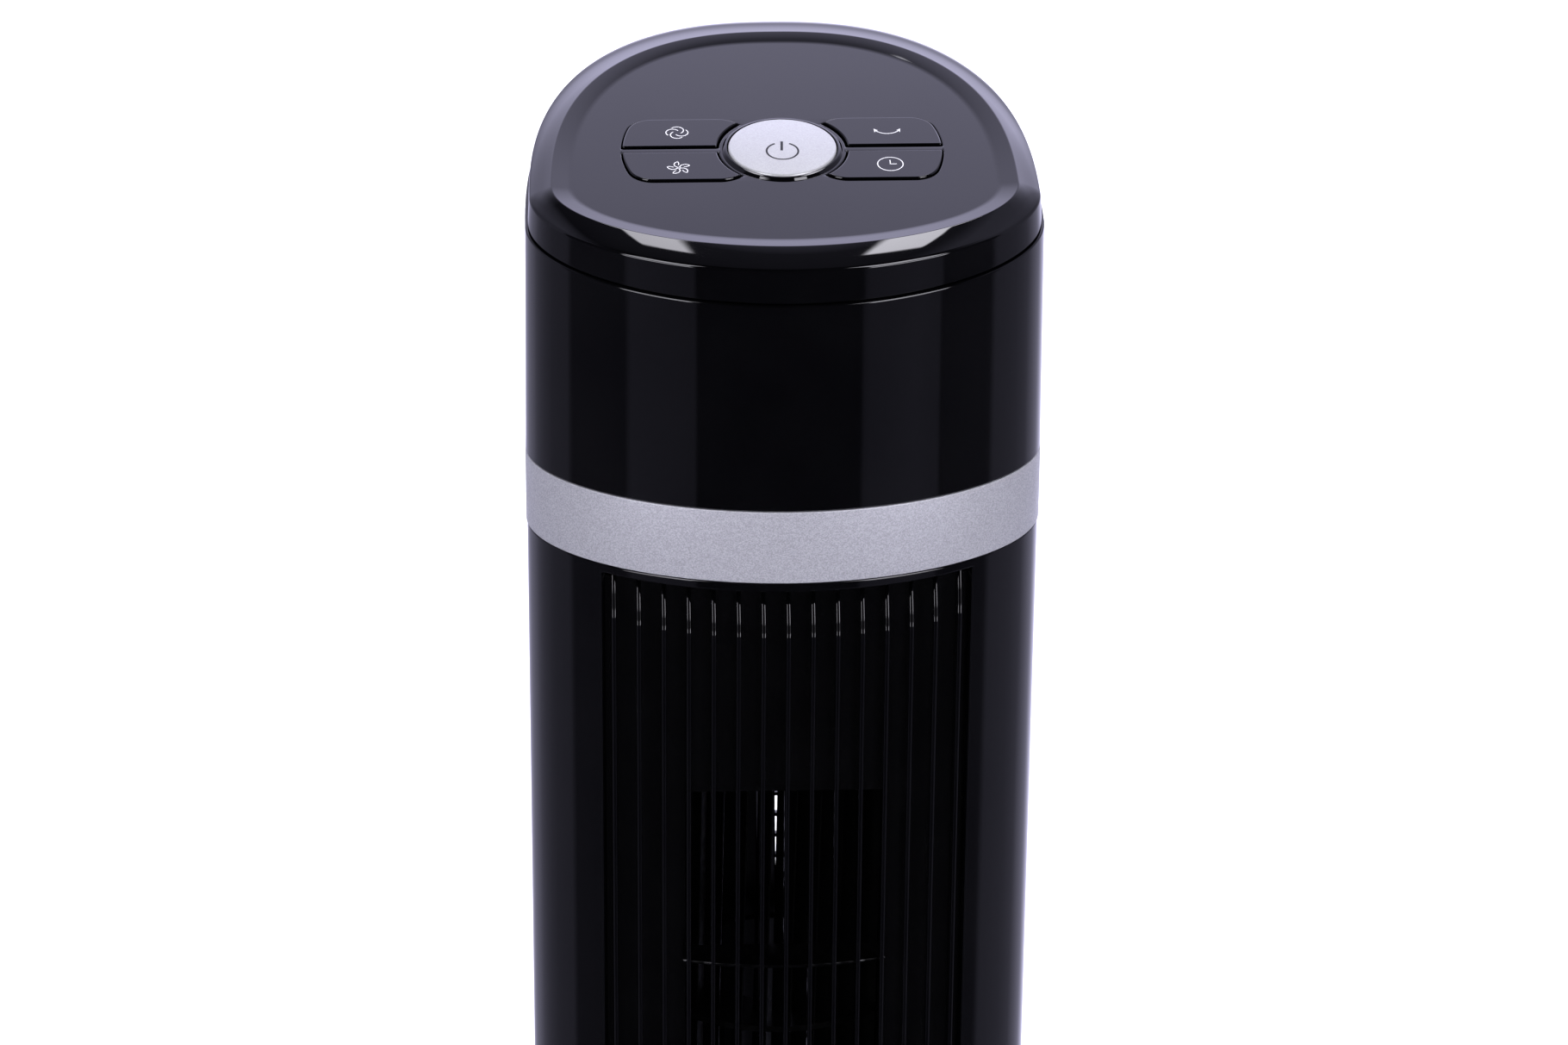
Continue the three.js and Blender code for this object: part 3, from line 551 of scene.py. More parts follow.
BACK_BY_ELEVATION = [
    (-40, 0.9), (-22, 0.38), (-10, 0.36), (-4, 0.46), (0, 0.7), (6, 1.4), (12, 2), (34, 2.15), (38, 1.62),
    (39.5, 1.3), (41, 1.06), (43, 0.75), (46, 0.3), (50, 0.05), (80, 0),
]
SIDE_BY_AZIMUTH = [
    (-180, 0.01), (-98, 0.04), (-94, 0.3), (-60, 0.32), (-40, 0.36), (-30, 0.2), (-24, 0.02), (16, 0.02),
    (24, 0.25), (40, 0.36), (60, 0.32), (99, 0.3), (103, 0.04), (180, 0.01),
]
# (azimuths at 50 degrees up, elevations straight behind, rise per degree of azimuth, lean per degree of
# elevation, softness, radiance)
SOFT_BOXES = [
    ((-4.1, -0.1), (46, 53), -0.36, -0.37, 0.3, 6.5),
    ((7.4, 12.3), (43.5, 49.9), 0.33, 0.3, 0.3, 8),
    ((-153.5, -129.5), (19, 54), 0, 0, 1, 7),
    ((-153.5, -129.5), (-1, 19), 0, 0, 1, 1.2),
    ((-153.5, -129.5), (-13, -1), 0, 0, 1, 6.5),
    ((128.8, 154.5), (19, 58), 0, 0, 1, 8),
    ((128.8, 154.5), (-1, 19), 0, 0, 1, 1.2),
    ((128.8, 154.5), (-13, -1), 0, 0, 1, 7.5),
]


def world_light():
    """The studio round the fan, by azimuth from straight behind and by elevation, both in degrees.

    A pale lavender backdrop stands behind the fan, dimmer side walls reach forwards to about +-95 degrees,
    the ceiling and the front are dark, and soft boxes hang above the backdrop and in front at each side.
    """
    world = bpy.data.worlds.new("studio")
    bpy.context.scene.world = world
    world.use_nodes = True
    tree = world.node_tree
    link = tree.links.new
    background = tree.nodes["Background"]
    coord = tree.nodes.new("ShaderNodeTexCoord")
    split = tree.nodes.new("ShaderNodeSeparateXYZ")
    link(coord.outputs["Generated"], split.inputs[0])

    def maths(operation, a, b=None):
        node = tree.nodes.new("ShaderNodeMath")
        node.operation = operation
        for socket, value in zip(node.inputs, (a, b)):
            if value is None:
                continue
            if isinstance(value, (int, float)):
                socket.default_value = value
            else:
                link(value, socket)
        return node.outputs[0]

    azimuth_out = maths("MULTIPLY", maths("ARCTAN2", split.outputs["X"], split.outputs["Y"]), 180 / PI)
    elevation_out = maths("MULTIPLY", maths("ARCSINE", split.outputs["Z"]), 180 / PI)

    def profile(value, low, high, stops):
        """The level at a value in degrees, from (degrees, level) stops."""
        mapped = map_range(tree, value, low, high)
        node = tree.nodes.new("ShaderNodeValToRGB")
        elements = node.color_ramp.elements
        while len(elements) < len(stops):
            elements.new(0.5)
        for element, (at, level) in zip(elements, stops):
            element.position = (at - low) / (high - low)
            element.color = (*[level / HIGHEST_LEVEL] * 3, 1)
        link(mapped.outputs["Result"], node.inputs["Fac"])
        return maths("MULTIPLY", node.outputs["Color"], HIGHEST_LEVEL)

    def ramp(value, start, end):
        """0 before start and 1 after end, or falling if start is above end."""
        rise = (0, 1) if start < end else (1, 0)
        node = map_range(tree, value, min(start, end), max(start, end), *rise)
        node.interpolation_type = "SMOOTHSTEP"
        return node.outputs["Result"]

    def window(azimuths, elevations, rise, lean, soft):
        """1 inside a soft box and 0 outside it."""

        def between(value, low, high):
            rising = ramp(value, low - soft, low + soft)
            return maths("MULTIPLY", rising, ramp(value, high + soft, high - soft))

        level = maths("SUBTRACT", elevation_out, maths("MULTIPLY", azimuth_out, rise))
        shift = maths("MULTIPLY", maths("SUBTRACT", elevation_out, 50), lean)
        across = maths("SUBTRACT", azimuth_out, shift)
        return maths("MULTIPLY", between(across, *azimuths), between(level, *elevations))

    low_part = profile(azimuth_out, -180, 180, LOW_BY_AZIMUTH)
    backdrop = maths("MULTIPLY", profile(azimuth_out, -180, 180, BACK_BY_AZIMUTH),
                     profile(elevation_out, -40, 80, BACK_BY_ELEVATION))
    side = maths("MULTIPLY", profile(azimuth_out, -180, 180, SIDE_BY_AZIMUTH), ramp(elevation_out, *SIDE_TOP))
    upper = maths("ADD", backdrop, side)
    share = ramp(elevation_out, *LOW_TOP)
    level = maths("ADD", maths("MULTIPLY", upper, share),
                  maths("MULTIPLY", low_part, maths("SUBTRACT", 1, share)))

    def tinted(value, tint):
        node = tree.nodes.new("ShaderNodeCombineColor")
        for channel, amount in zip(("Red", "Green", "Blue"), tint):
            link(maths("MULTIPLY", value, amount), node.inputs[channel])
        return node.outputs["Color"]

    total = tinted(level, LAVENDER)
    for azimuths, elevations, rise, lean, soft, radiance in SOFT_BOXES:
        joined = tree.nodes.new("ShaderNodeMix")
        joined.data_type = "RGBA"
        joined.blend_type = "ADD"
        joined.inputs["Factor"].default_value = 1
        link(total, joined.inputs["A"])
        box = window(azimuths, elevations, rise, lean, soft)
        link(tinted(box, [radiance * c for c in WHITE]), joined.inputs["B"])
        total = joined.outputs["Result"]
    paths = tree.nodes.new("ShaderNodeLightPath")
    shown = tree.nodes.new("ShaderNodeMix")
    shown.data_type = "RGBA"
    link(paths.outputs["Is Camera Ray"], shown.inputs["Factor"])
    link(total, shown.inputs["A"])
    shown.inputs["B"].default_value = (1, 1, 1, 1)
    link(shown.outputs["Result"], background.inputs["Color"])


world_light()


def area_light(name, location, target, size, power):
    data = bpy.data.lights.new(name, "AREA")
    data.shape = "RECTANGLE"
    data.size, data.size_y = size
    data.energy = power
    obj = new_object(name, data)
    obj.location = location
    obj.rotation_euler = (Vector(target) - Vector(location)).to_track_quat("-Z", "Y").to_euler()
    obj.visible_glossy = False
    obj.visible_camera = False


area_light("overhead", (0, 0.4, 4.2), (0, 0.4, 0), (6, 6), 330)
area_light("front_fill", (0, -3.2, 2.2), (0, 0, 0.7), (2.2, 1.6), 30)
bpy.context.scene.view_settings.view_transform = "Standard"
bpy.context.scene.view_settings.look = "None"

# -------------------- head: cap, buttons, band

# The panel's own frame: u across, v up the slope, w out of it, from the middle of the power button.
panel_middle = (0, WIDEST_Y + BUTTONS_V * math.cos(SLANT * RAD), PANEL[0] + BUTTONS_V * math.sin(SLANT * RAD))
panel_frame = Matrix.Translation([c * MM for c in panel_middle]) @ Matrix.Rotation(SLANT * RAD, 4, "X")


def polar(centre, radius, angle):
    """The point of a circle at an angle in degrees."""
    return (centre[0] + radius * math.cos(angle * RAD), centre[1] + radius * math.sin(angle * RAD))


def arc(centre, radius, start, end, steps):
    return [polar(centre, radius, start + (end - start) * k / steps) for k in range(steps + 1)]


def small_button_outline(shrink):
    """One small button's plan in the first quadrant, anticlockwise, with rounded corners."""
    end_radius, corner_radius = OBLONG["end"], OBLONG["corner"]
    end_centre = OBLONG["half"] - end_radius
    corner_v = OBLONG["height"] - corner_radius
    corner_u = end_centre + math.sqrt((end_radius - corner_radius) ** 2 - corner_v**2)
    meet = math.atan2(corner_v, corner_u - end_centre) / RAD
    low = OBLONG["low"] + shrink
    ring = RING_RADIUS + 1.7 * shrink
    start = math.asin(low / (end_radius - shrink)) / RAD
    points = arc((end_centre, 0), end_radius - shrink, start, meet, 10)
    points += arc((corner_u, corner_v), corner_radius - shrink, meet, 90, 12)[1:]
    # The top edge curves down over the waist until it meets the ring round the disc.
    waist = (OBLONG["waist"], OBLONG["height"] - OBLONG["waist_corner"])
    bend = OBLONG["waist_corner"] - shrink
    meet = next(a for a in range(90, 180) if math.dist((0, 0), polar(waist, bend, a)) < ring)
    tip = polar(waist, bend, meet)
    points += arc(waist, bend, 90, meet - 2, 12)
    points += arc((0, 0), ring, math.atan2(tip[1], tip[0]) / RAD, math.asin(low / ring) / RAD, 24)
    return round_tight(points, 0.35 + 0.9 * shrink)


def round_tight(points, radius):
    """Rounds only the corners of a closed outline that turn by more than 30 degrees."""
    out = []
    count = len(points)
    for i, p in enumerate(points):
        a, b, c = Vector(points[i - 1]), Vector(p), Vector(points[(i + 1) % count])
        sharp = (b - a).length > 1e-6 and (c - b).length > 1e-6 and (b - a).angle(c - b) > 30 * RAD
        out.append((p[0], p[1], radius if sharp else 0))
    return [tuple(q) for q in rounded(out, steps=4)]


def offset_outline(points, distance):
    """Moves a smooth closed outline inwards along its own normals."""
    count = len(points)
    out = []
    for i, p in enumerate(points):
        a, c = Vector(points[i - 1]), Vector(points[(i + 1) % count])
        along = (c - a).normalized()
        out.append((p[0] - along.y * distance, p[1] + along.x * distance))
    return out


def pill(name, outline, low, high, radius):
    """A push button: an upright wall, a rounded edge and a flat top."""
    bm = bmesh.new()
    rings = [[(u, v, low) for u, v in outline]]
    steps = 7
    for k in range(steps + 1):
        angle = 90 * RAD * k / steps
        inward = radius * (1 - math.cos(angle))
        w = high - radius + radius * math.sin(angle)
        rings.append([(u, v, w) for u, v in offset_outline(outline, inward)])
    # A narrow flat strip keeps the edge's shading off the top.
    rings.append([(u, v, high) for u, v in offset_outline(outline, radius + 0.06)])
    made = loft_into(bm, rings)
    ends = [bm.faces.new(made[-1]), bm.faces.new(list(reversed(made[0])))]
    bmesh.ops.triangulate(bm, faces=ends)
    obj = finish_mesh(bm, name, 50)
    flatten(obj)
    return obj


def in_panel(obj):
    obj.data.transform(panel_frame)
    return obj


def panel_point(u, v, w):
    """A point of the panel's own frame, in millimetres, in the fan's frame, in millimetres."""
    return panel_frame @ Vector((u * MM, v * MM, w * MM)) / MM


def smooth(value, low, high):
    """0 at low, 1 at high, with an even start and end."""
    u = min(1.0, max(0.0, (value - low) / (high - low)))
    return u * u * (3 - 2 * u)


def curve(a, b, c, u):
    """A point of the quadratic curve from a to c that b pulls on."""
    return a * (1 - u) ** 2 + b * 2 * u * (1 - u) + c * u * u


def corner(before, at, after, reach, steps):
    """Points that round a corner, starting and ending a given distance from it."""
    start = at + (before - at).normalized() * reach
    end = at + (after - at).normalized() * reach
    return [curve(start, at, end, k / steps) for k in range(steps + 1)]


def lifted(size, inset, plane, t):
    """One point of such a ring on a slanted plane, as a vector."""
    x, y = plan_point(size, inset, t)
    return Vector((x, y, plane[0] + (y - WIDEST_Y) * math.tan(plane[1] * RAD)))


def cap_section(t):
    """The cap's outside at one place round it, from its foot to the edge of the flat panel."""
    foot = lifted(PLAN, 1.6, CAP_FOOT, t)
    inner_foot = lifted(PLAN, 3.2, CAP_FOOT, t)
    shoulder = lifted(PLAN, 2.2, SHOULDER, t)
    ridge = lifted(RIDGE_PLAN, 0, RIDGE, t)
    rear = smooth(math.sin(t), 0, 0.8)
    ridge.z -= 0.2 * rear  # the rim lies a little lower at the back
    edge = lifted(PANEL_PLAN, 0, PANEL, t)
    flat = lifted(PANEL_PLAN, 1.6, PANEL, t)
    # The rim is nearly straight in front and swells towards the back.
    swell = 0.545 + 0.175 * smooth(math.sin(t), -0.75, 0.2)
    pull = shoulder.lerp(ridge, 0.45)
    pull.z = shoulder.z + (ridge.z - shoulder.z) * swell
    points = [foot.lerp(inner_foot, 0.4)] + corner(inner_foot, foot, shoulder, 0.3, 3)
    points.append(foot.lerp(shoulder, 0.5))
    reach = 0.75
    points += corner(foot, shoulder, pull, reach, 7)
    start = (pull - shoulder).normalized() * reach + shoulder
    steps = 10
    points += [curve(start, pull, ridge, k / steps) for k in range(1, steps)]
    crown = ridge.lerp(edge, 0.5)
    crown.z += 0.05 * rear
    points += corner(pull, ridge, crown, 0.3, 4)
    points.append(crown)
    points += corner(crown, edge, flat, 0.9, 6)
    return points


# The panel's edge round a small button: a quarter circle, by how far out and how high it is.
HOLE_EDGE = [(0.4 * (1 - math.sin(a * RAD)), 0.4 * (math.cos(a * RAD) - 1)) for a in range(0, 91, 18)]
COLLAR = {"inner": 17.05, "crest": 17.75, "foot": 18.55, "flare": 18.95, "height": 0.8}


def collar_edge():
    """How far out and how high the panel's raised collar is, from its flared foot to its inner wall."""
    inner, height = COLLAR["inner"], COLLAR["height"]
    profile = [(COLLAR["flare"], 0, 0), (COLLAR["foot"], 0, 0.3), (COLLAR["crest"], height - 0.08, 0.45),
               (inner, height, 0.1), (inner, 0, 0)]
    return [(r - inner, w) for r, w in rounded(profile, closed=False, steps=7)]


def cap_piece(holes):
    """The cap: a short wall, a small shoulder, a rim that swells up to a crisp ridge, and the sunk panel.

    Each hole is an outline in the panel's own plane and the profile of the panel's edge round it.
    """
    count = 320
    sections = [cap_section(t) for t in even_turns(count)]
    rings = [list(ring) for ring in zip(*sections)]
    bm = bmesh.new()
    made = loft_into(bm, rings)
    under = [
        ring_at(PANEL_PLAN, 0, (PANEL[0] - CAP_WALL, SLANT), count),
        ring_at(PLAN, 5.6, (SHOULDER[0] - CAP_WALL, SHOULDER[1]), count),
        ring_at(PLAN, 4.2, (SHOULDER[0] - CAP_WALL - 2, SHOULDER[1]), count),
        ring_at(PLAN, 4.2, CAP_FOOT, count),
    ]
    made_under = loft_into(bm, under)
    join_rings(bm, made_under[-1], made[0])
    tops, bottoms = [made[-1]], [made_under[0]]
    for outline, edge_profile in holes:
        loops = []
        for growth, w in edge_profile:
            loops.append([panel_point(u, v, w) for u, v in offset_outline(outline, -growth)])
        loops.append([panel_point(u, v, -CAP_WALL) for u, v in outline])
        wall = loft_into(bm, loops)
        tops.append(wall[0])
        bottoms.append(wall[-1])
    for loops in (tops, bottoms):
        edges = []
        for loop in loops:
            for i, vert in enumerate(loop):
                after = loop[(i + 1) % len(loop)]
                edges.append(bm.edges.get((vert, after)) or bm.edges.new((vert, after)))
        bmesh.ops.triangle_fill(bm, use_beauty=True, edges=edges)
    obj = finish_mesh(bm, "cap", 50)
    flatten(obj)
    return obj


def band_piece():
    section = slab(0, 2.8, *BAND, 0.35, 0.2)
    bm = bmesh.new()
    loft_into(bm, [ring_at(PLAN, inset, z) for inset, z in section], closed_loop=True)
    return finish_mesh(bm, "band", 40)


def head_piece():
    """The head between band and cap; its top edge is slanted and slightly rounded."""

    def ring(inset, z, slant=0.0):
        return ring_at(PLAN, inset, (z, slant))

    z, slant = SEAM
    foot = BAND[1] + GAP
    outer, edge = 0.8, 0.35  # the wall's inset under its top edge, and the edge's radius
    below_edge = ring(outer, z - 0.8, slant)
    rings = [ring(0.3, foot), ring(0.1, foot + 0.25)]
    rings += [mix_rings(ring(0.1, foot), below_edge, k / 9) for k in range(1, 9)]
    rings.append(below_edge)
    for k in range(1, 6):
        angle = 90 * RAD * k / 5
        rings.append(ring(outer + edge * (1 - math.cos(angle)), z - 0.6 + edge * math.sin(angle), slant))
    rings += [ring(3.3, *HEAD_TOP), ring(2.6, foot)]
    bm = bmesh.new()
    loft_into(bm, rings, closed_loop=True)
    obj = finish_mesh(bm, "head", 30)
    flatten(obj)
    return obj


QUADRANTS = {
    "breeze_button": (-1, 1),
    "speed_button": (-1, -1),
    "swing_button": (1, 1),
    "timer_button": (1, -1),
}


def mirrored(points, column, row):
    out = [(u * column, v * row) for u, v in points]
    return out if column * row > 0 else out[::-1]


openings = [(mirrored(small_button_outline(0), *place), HOLE_EDGE) for place in QUADRANTS.values()]
openings.append(([point[:2] for point in circle(COLLAR["inner"], 0, 160)], collar_edge()))
dress(cap_piece(openings), GLOSS, "tower", ["top_cap"])
dress(band_piece(), SILVER, "tower", ["trim_band"])
dress(head_piece(), GLOSS, "tower", ["head_housing"])

for name, place in QUADRANTS.items():
    outline = mirrored(small_button_outline(BUTTON_SHRINK), *place)
    face = pill(name + "_face", outline, BUTTON_FOOT, BUTTON_TOP, 0.45)
    dress(in_panel(face), GLOSS, name, [name])

disc = lathe(
    "power_disc",
    [(0, BUTTON_FOOT, 0), (DISC_RADIUS, BUTTON_FOOT, 0.1), (DISC_RADIUS, DISC_TOP, 0.7), (0, DISC_TOP, 0)],
    160, steps=7, ring=False,
)
dress(in_panel(disc), DISC_SILVER, "power_button", ["power_button"])

# -------------------- printed symbols

LINE = 0.32
INK = 0.03  # its thickness
LIFT = 0.005  # of the ink over the button


def stroke(points, width, closed=False):
    """A flat ribbon of a given width along a polyline, as quads."""
    path = [Vector(p) for p in points]
    count = len(path)
    left, right_side = [], []
    for i in range(count):
        a = path[i - 1] if (i or closed) else path[i]
        b = path[(i + 1) % count] if (i < count - 1 or closed) else path[i]
        along = (b - a).normalized()
        side = Vector((-along.y, along.x)) * width / 2
        left.append(path[i] + side)
        right_side.append(path[i] - side)
    quads = []
    for i in range(count if closed else count - 1):
        j = (i + 1) % count
        quads.append([right_side[i], right_side[j], left[j], left[i]])
    return quads


def icon(name, quads, top, body, ink):
    """Ink on the top of a button."""
    bm = bmesh.new()
    for quad in quads:
        bm.faces.new([bm.verts.new((p[0], p[1], top + LIFT)) for p in quad])
    bmesh.ops.remove_doubles(bm, verts=bm.verts, dist=0.002)
    faces, rims = list(bm.faces), [edge for edge in bm.edges if edge.is_boundary]
    raised = {vert: bm.verts.new(vert.co + Vector((0, 0, INK))) for vert in list(bm.verts)}
    for face in faces:
        bm.faces.new([raised[vert] for vert in face.verts])
    for a, b in [edge.verts for edge in rims]:
        bm.faces.new((a, b, raised[b], raised[a]))
    dress(in_panel(finish_mesh(bm, name, 30)), ink, body)


def placed(points, centre, turn, size=1.0):
    """Points round the origin turned by an angle in degrees, scaled, and moved to a centre."""
    c, s = math.cos(turn * RAD), math.sin(turn * RAD)
    return [(centre[0] + size * (x * c - y * s), centre[1] + size * (x * s + y * c)) for x, y in points]


# Breeze: four curls, each opening into the next.
breeze_at = (-32.1, 9.75)
curls = []
for k in range(4):
    curls += stroke(placed(arc((0, 1.35), 2.05, 138, -57, 26), breeze_at, 90 * k), LINE)
icon("breeze_icon", curls, BUTTON_TOP, "breeze_button", ICON_LIGHT)
# Speed: five curved blades round a hub.
speed_at = (-32.05, -11.0)
blades = []
for k in range(5):
    turn = 72 * k + 4.6
    blades += stroke(placed(arc((0.4, 1.85), 1.6, 255, 105, 16), speed_at, turn, 1.06), LINE)
    blades += stroke(placed(arc((-1.95, 2.5), 2.15, 25, -26, 10), speed_at, turn, 1.06), LINE * 0.9)
icon("speed_icon", blades, BUTTON_TOP, "speed_button", ICON_LIGHT)
# Swing: a shallow arc with an arrowhead at each end.
swing_at = (32.7, 12.5)
arrowhead = ((4.1, -1.65), (2.85, -2.6), (3.5, -2.85), (3.95, -3.75))
swing = stroke(arc(swing_at, 4.5, 218, 322, 24), LINE)
for side in (-1, 1):
    swing.append([(swing_at[0] + side * u, swing_at[1] + v) for u, v in arrowhead])
icon("swing_icon", swing, BUTTON_TOP, "swing_button", ICON_LIGHT)
# Timer: a clock face with two hands.
clock_at = (32.6, -9.9)
clock = stroke(arc(clock_at, 3.9, 0, 353, 48), LINE, closed=True)
clock += stroke([(clock_at[0], clock_at[1] + 2.3), (clock_at[0], clock_at[1] - 0.2)], LINE)
clock += stroke([(clock_at[0] - 0.18, clock_at[1]), (clock_at[0] + 2.0, clock_at[1])], LINE)
icon("timer_icon", clock, BUTTON_TOP, "timer_button", ICON_LIGHT)
# Power: an open ring with a bar.
power_at = (-0.1, -2.5)
power = stroke(arc(power_at, 4.85, 117, 423, 60), 0.6)
power += stroke([(power_at[0], power_at[1] + 5.6), (power_at[0] - 0.22, power_at[1] + 0.35)], 0.8)
icon("power_icon", power, DISC_TOP, "power_button", ICON_DARK)

# -------------------- tower shells


def shell(name, turns, window):
    """A wall along part of the plan outline, with a rectangular window left open."""
    bm = bmesh.new()
    heights = [LOWER_TOP + GAP, window["bottom"], window["top"], BAND[0] - GAP]
    grid = [[bm.verts.new((*plan_point(PLAN, SHELL_INSET, t), z)) for t in turns] for z in heights]
    for row, (low, high) in enumerate(zip(grid, grid[1:])):
        for i in range(len(turns) - 1):
            is_open = row == 1 and abs(low[i].co.x + low[i + 1].co.x) / 2 < window["half"]
            if not is_open:
                bm.faces.new((low[i], low[i + 1], high[i + 1], high[i]))
    loose = [v for v in bm.verts if not v.link_faces]
    bmesh.ops.delete(bm, geom=loose, context="VERTS")
    obj = finish_mesh(bm, name, 30)
    thicken(obj, SHELL_WALL, even=True)
    return obj


SPLIT_TURN = 0.004  # from a shell's edge to the split between the shells
split_t = t_at_y(SPLIT_Y + GAP / 2, SHELL_INSET)
front_edge = -t_at_x(GRILLE["half"], SHELL_INSET, FRONT_POWER)
right_turns = spread(front_edge, split_t - SPLIT_TURN, 40)
left_turns = [-PI - t for t in reversed(right_turns)]
front_turns = left_turns[:-1] + spread(-PI - front_edge, front_edge, 100)[:-1] + right_turns
front_cover = shell("front_cover", front_turns, GRILLE)
bevel(front_cover, SHELL_EDGE)
dress(front_cover, GLOSS, "tower", ["front_grille"])

RIB = {"count": 15, "pitch": 7.62, "half": 0.7, "edge": 0.45, "inset": 0.25, "depth": 9}
RIB_SWEEP = 12  # how far back a rib's ends curve
RIB_REACH = 17  # over what height
RIBS_BACK = -60.3  # the plate behind the ribs


def rib_sweep(z, face):
    """How far a grille rib has swept in behind the front surface near its two ends."""
    nearest = max(0.0, min(GRILLE["top"] - z, z - GRILLE["bottom"]))
    share = max(0.0, 1 - nearest / RIB_REACH)
    return min(RIB_SWEEP, RIBS_BACK - 0.5 - face) * share**1.8


def ribs_piece():
    """Upright ribs with rounded front edges; both ends curve back into the case."""
    bm = bmesh.new()
    half, edge = RIB["half"], RIB["edge"]
    ends = [RIB_REACH * k / 16 for k in range(17)]
    levels = [GRILLE["bottom"] + k for k in ends]
    levels += spread(levels[-1], GRILLE["top"] - RIB_REACH, 6)[1:-1]
    levels += [GRILLE["top"] - k for k in reversed(ends)]
    for i in range(RIB["count"]):
        x = (i - (RIB["count"] - 1) / 2) * RIB["pitch"]
        face = front_y(x, SHELL_INSET) + RIB["inset"]
        back = min(face + RIB["depth"], RIBS_BACK)
        rings = []
        for z in levels:
            front = face + rib_sweep(z, face)
            corners = [(-half, front, edge), (half, front, edge), (half, back, 0.1), (-half, back, 0.1)]
            rings.append([(x + u, y, z) for u, y in rounded(corners)])
        loft_into(bm, rings, caps=True)
    return finish_mesh(bm, "front_ribs", 50)


dress(ribs_piece(), GLOSS, "tower", ["front_grille"])

rear_edge = t_at_x(REAR["half"], SHELL_INSET, BACK_POWER)
rear_right = spread(split_t + SPLIT_TURN, rear_edge, 40)
rear_turns = rear_right[:-1] + spread(rear_edge, PI - rear_edge, 90)[:-1]
rear_turns += [PI - t for t in reversed(rear_right)]
rear_cover = shell("rear_cover", rear_turns, REAR)
for screw in ("housing_screw_1", "housing_screw_2"):
    x, _, z = middle(screw)
    drill(rear_cover, SCREW_HOLE, 80, (x, 10, z))
bevel(rear_cover, SHELL_EDGE)
dress(rear_cover, GLOSS, "tower", ["rear_housing"])

REAR_RIB = {"rows": 61, "half": 0.65, "depth": 2.6, "margin": 0.8}
STIFFENERS_X = (-51.8, -34.5, -17.5, 0.0, 17.5, 34.5, 51.8)


def rear_ribs_piece():
    """Fine level ribs across the air inlet, with a few upright stiffeners set a little further in."""
    bm = bmesh.new()
    turns = spread(rear_edge + SPLIT_TURN, PI - rear_edge - SPLIT_TURN, 60)
    half, margin = REAR_RIB["half"], REAR_RIB["margin"]
    for z in spread(REAR["bottom"] + margin, REAR["top"] - margin, REAR_RIB["rows"]):
        section = slab(0, REAR_RIB["depth"], z - half, z + half, 0.4, 0.3, 3)
        rings = []
        for t in turns:
            rings.append([(*plan_point(PLAN, SHELL_INSET + inset, t), level) for inset, level in section])
        loft_into(bm, rings, caps=True)
    section = rounded([(-0.9, -0.5, 0.3), (0.9, -0.5, 0.3), (0.9, -3.4, 0.3), (-0.9, -3.4, 0.3)], steps=3)
    for x in STIFFENERS_X:
        px, py = plan_point(PLAN, SHELL_INSET, t_at_x(x, SHELL_INSET, BACK_POWER))
        rings = [[(px + u, py + v, z) for u, v in section] for z in (REAR["bottom"] + 0.4, REAR["top"] - 0.4)]
        loft_into(bm, rings, caps=True)
    return finish_mesh(bm, "rear_ribs", 50)


dress(rear_ribs_piece(), SATIN, "tower", ["rear_grille"])


def lower_piece():
    """The tower's foot: a rounded bottom edge and a floor with a hole for the swivel hub."""
    floor_low, floor_high = LOWER_FLOOR
    outer, inner = SHELL_INSET, SHELL_INSET + SHELL_WALL
    section = rounded(
        [(12, floor_low, 0), (outer, floor_low, 6.5), (outer, LOWER_TOP, 0.4), (inner, LOWER_TOP, 0.2),
         (inner, floor_high, 4), (12, floor_high, 0)],
        closed=False,
        steps=7,
    )
    bm = bmesh.new()
    made = loft_into(bm, [ring_at(PLAN, inset, z) for inset, z in section])
    low, high = [[bm.verts.new(p) for p in circle(HUB_HOLE, z, 256)] for z in LOWER_FLOOR]
    join_rings(bm, made[0], low)
    join_rings(bm, made[-1], high)
    join_rings(bm, low, high)
    return finish_mesh(bm, "lower_cover", 40)


dress(lower_piece(), GLOSS, "tower", ["lower_housing"])

# -------------------- base

base_profile = [
    (140, 4.0, 0.5), (140, 11, 5), (132.5, 18.6, 9), (110, 23.3, 30), (64, 30.1, 2), (47, 30.1, 0.4),
    (47, 27.6, 0.4), (64, 27.6, 2), (110, 20.9, 20), (131, 16, 4), (137, 11, 3), (137, 4.0, 0.4),
]
base_dome = lathe("base_dome", base_profile, 192)
inlet_z = middle("cord_inlet")[2]
for radius, start_y in ((5.0, 120), (6.1, 138)):  # the cord's bore, then the seat of its bush
    drill(base_dome, radius, 40, (0, start_y, inlet_z))
dress(base_dome, GLOSS, "base", ["base_cover"])

dress(
    lathe("pedestal_cup", [
        (21.3, 30.4, 0.3), (62, 30.4, 0.6), (62, 50, 0.8), (56, 50, 0.5), (56, 34, 1.5), (21.3, 34, 0.3),
    ], 160),
    SATIN, "base", ["pedestal"],
)
dress(
    lathe("turntable_disc", [
        (12, 19, 0.4), (18, 19, 0.4), (18, 51.7, 1), (64, 51.7, 0.8), (64, 55.9, 0.8), (12, 55.9, 0.4),
    ], 160),
    SATIN, "tower", ["turntable"],
)
foot_profile = [(0, 0, 0), (8.4, 0, 1.2), (10, 2.2, 0.8), (10, 3.7, 0.2), (0, 3.7, 0)]
for i in range(4):
    centre = middle(f"rubber_foot_{i + 1}")[:2]
    foot = lathe(f"foot_{i + 1}", foot_profile, 64, centre, ring=False)
    dress(foot, BY_SLOT["rubber"], "base", [f"rubber_foot_{i + 1}"])

# -------------------- air path

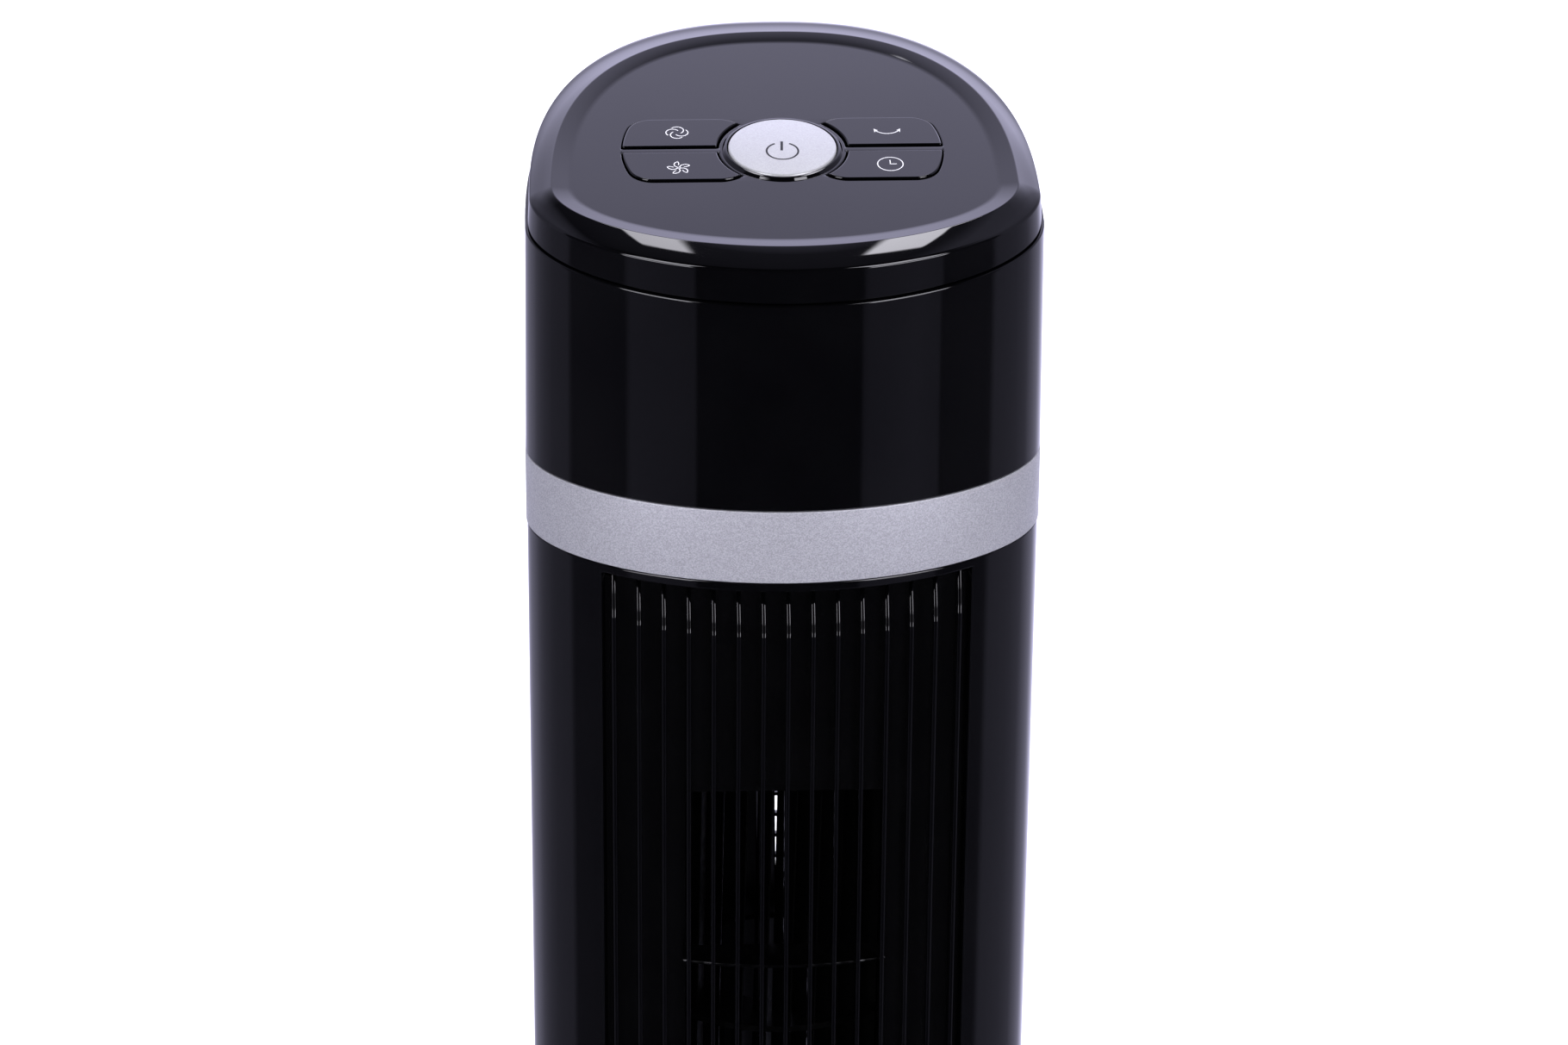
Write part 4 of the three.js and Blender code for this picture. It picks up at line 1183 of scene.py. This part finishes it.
DUCT_Y = -59
DUCT_WINDOW = {"half": 31, "bottom": 166, "top": 639}
DUCT_RIB = {"count": 8, "top": 583, "pitch": 58, "height": 1.2}


def duct_piece():
    """The wall behind the grille, with the outlet opening."""
    bm = bmesh.new()
    (x0, _, z0), (x1, _, z1) = box_mm("duct_frame")
    xs = [x0, -DUCT_WINDOW["half"], DUCT_WINDOW["half"], x1]
    zs = [z0, DUCT_WINDOW["bottom"], DUCT_WINDOW["top"], z1]
    grid = [[bm.verts.new((x, DUCT_Y, z)) for x in xs] for z in zs]
    for j in range(3):
        for i in range(3):
            if (i, j) != (1, 1):
                bm.faces.new((grid[j][i], grid[j][i + 1], grid[j + 1][i + 1], grid[j + 1][i]))
    obj = finish_mesh(bm, "duct_wall", 30)
    thicken(obj, 2)
    bevel(obj, 0.4)
    return obj


def duct_ribs():
    """Level ribs across the outlet opening, bowed forwards like the front of the tower."""
    bm = bmesh.new()
    back = DUCT_Y + 1
    for k in range(DUCT_RIB["count"]):
        top = DUCT_RIB["top"] - DUCT_RIB["pitch"] * k
        section = slab(0, 1, top - DUCT_RIB["height"], top, 0.5, 0, 3)
        rings = []
        for x in spread(-32, 32, 40):
            face = front_y(x, 10)
            rings.append([(x, back if depth == 1 else face + depth, z) for depth, z in section])
        loft_into(bm, rings, caps=True)
    return finish_mesh(bm, "duct_ribs", 50)


dress(duct_piece(), INNER, "tower", ["duct_frame"])
dress(duct_ribs(), INNER, "tower", ["duct_frame"])

rotor_bottom = box_mm("impeller_section_1")[0][2]
rotor_pitch = box_mm("impeller_section_2")[0][2] - rotor_bottom
ROTOR = {
    "sections": 5, "bottom": rotor_bottom, "pitch": rotor_pitch, "inner": 35.6, "outer": 45.6, "rim": 45.9,
    "ring": 2, "eye": 28, "shaft": 6.3,
}
BLADES = {"count": 36, "sweep": 0.1295, "twist": 0.00042, "edge": 0.45, "belly": 0.5}
SLIT = {"turn": -92.3 * RAD, "z": 630}  # the slit between two blades that shows through the window


def rotor_ring(bm, bore, low):
    """A flat ring round the rotor's axis, out to its rim."""
    rim, high = ROTOR["rim"], low + ROTOR["ring"]
    corners = [(bore, low), (rim, low), (rim, high), (bore, high)]
    loft_into(bm, [circle(r, z, 96, (0, IMPELLER_Y)) for r, z in corners], closed_loop=True)


def blade_section(start, z):
    """A blade's section at one height, starting from an angle: one side outwards, then the other inwards."""
    sides = ([], [])
    steps = 7
    for k in range(steps + 1):
        s = k / steps
        r = ROTOR["inner"] + (ROTOR["outer"] - ROTOR["inner"]) * s
        lean = start + BLADES["sweep"] * (1.35 * s - 0.35 * s * s) + BLADES["twist"] * (z - SLIT["z"])
        thick = (BLADES["edge"] + BLADES["belly"] * math.sin(PI * s)) / r
        for side, points in zip((-0.5, 0.5), sides):
            angle = lean + side * thick
            points.append((r * math.cos(angle), IMPELLER_Y + r * math.sin(angle), z))
    return sides[0] + sides[1][::-1]


def impeller_section(index):
    """One length of the cross-flow rotor: forward-curved blades between two rings."""
    z0 = ROTOR["bottom"] + index * ROTOR["pitch"]
    z1 = z0 + ROTOR["pitch"] - GAP
    bm = bmesh.new()
    pitch = 2 * PI / BLADES["count"]
    for blade in range(BLADES["count"]):
        # The slit between two blades is centred on its turn at its height.
        start = SLIT["turn"] - BLADES["sweep"] / 2 + (blade + 0.5) * pitch
        loft_into(bm, [blade_section(start, z) for z in spread(z0 + 0.5, z1 - 0.5, 6)], caps=True)
    rotor_ring(bm, ROTOR["shaft"] if index == 0 else ROTOR["eye"], z0)
    if index == ROTOR["sections"] - 1:
        rotor_ring(bm, ROTOR["shaft"], z1 - ROTOR["ring"])
    obj = finish_mesh(bm, f"rotor_section_{index + 1}", 40)
    dress(obj, ROTOR_BLACK, "impeller", [f"impeller_section_{index + 1}"])


for index in range(ROTOR["sections"]):
    impeller_section(index)
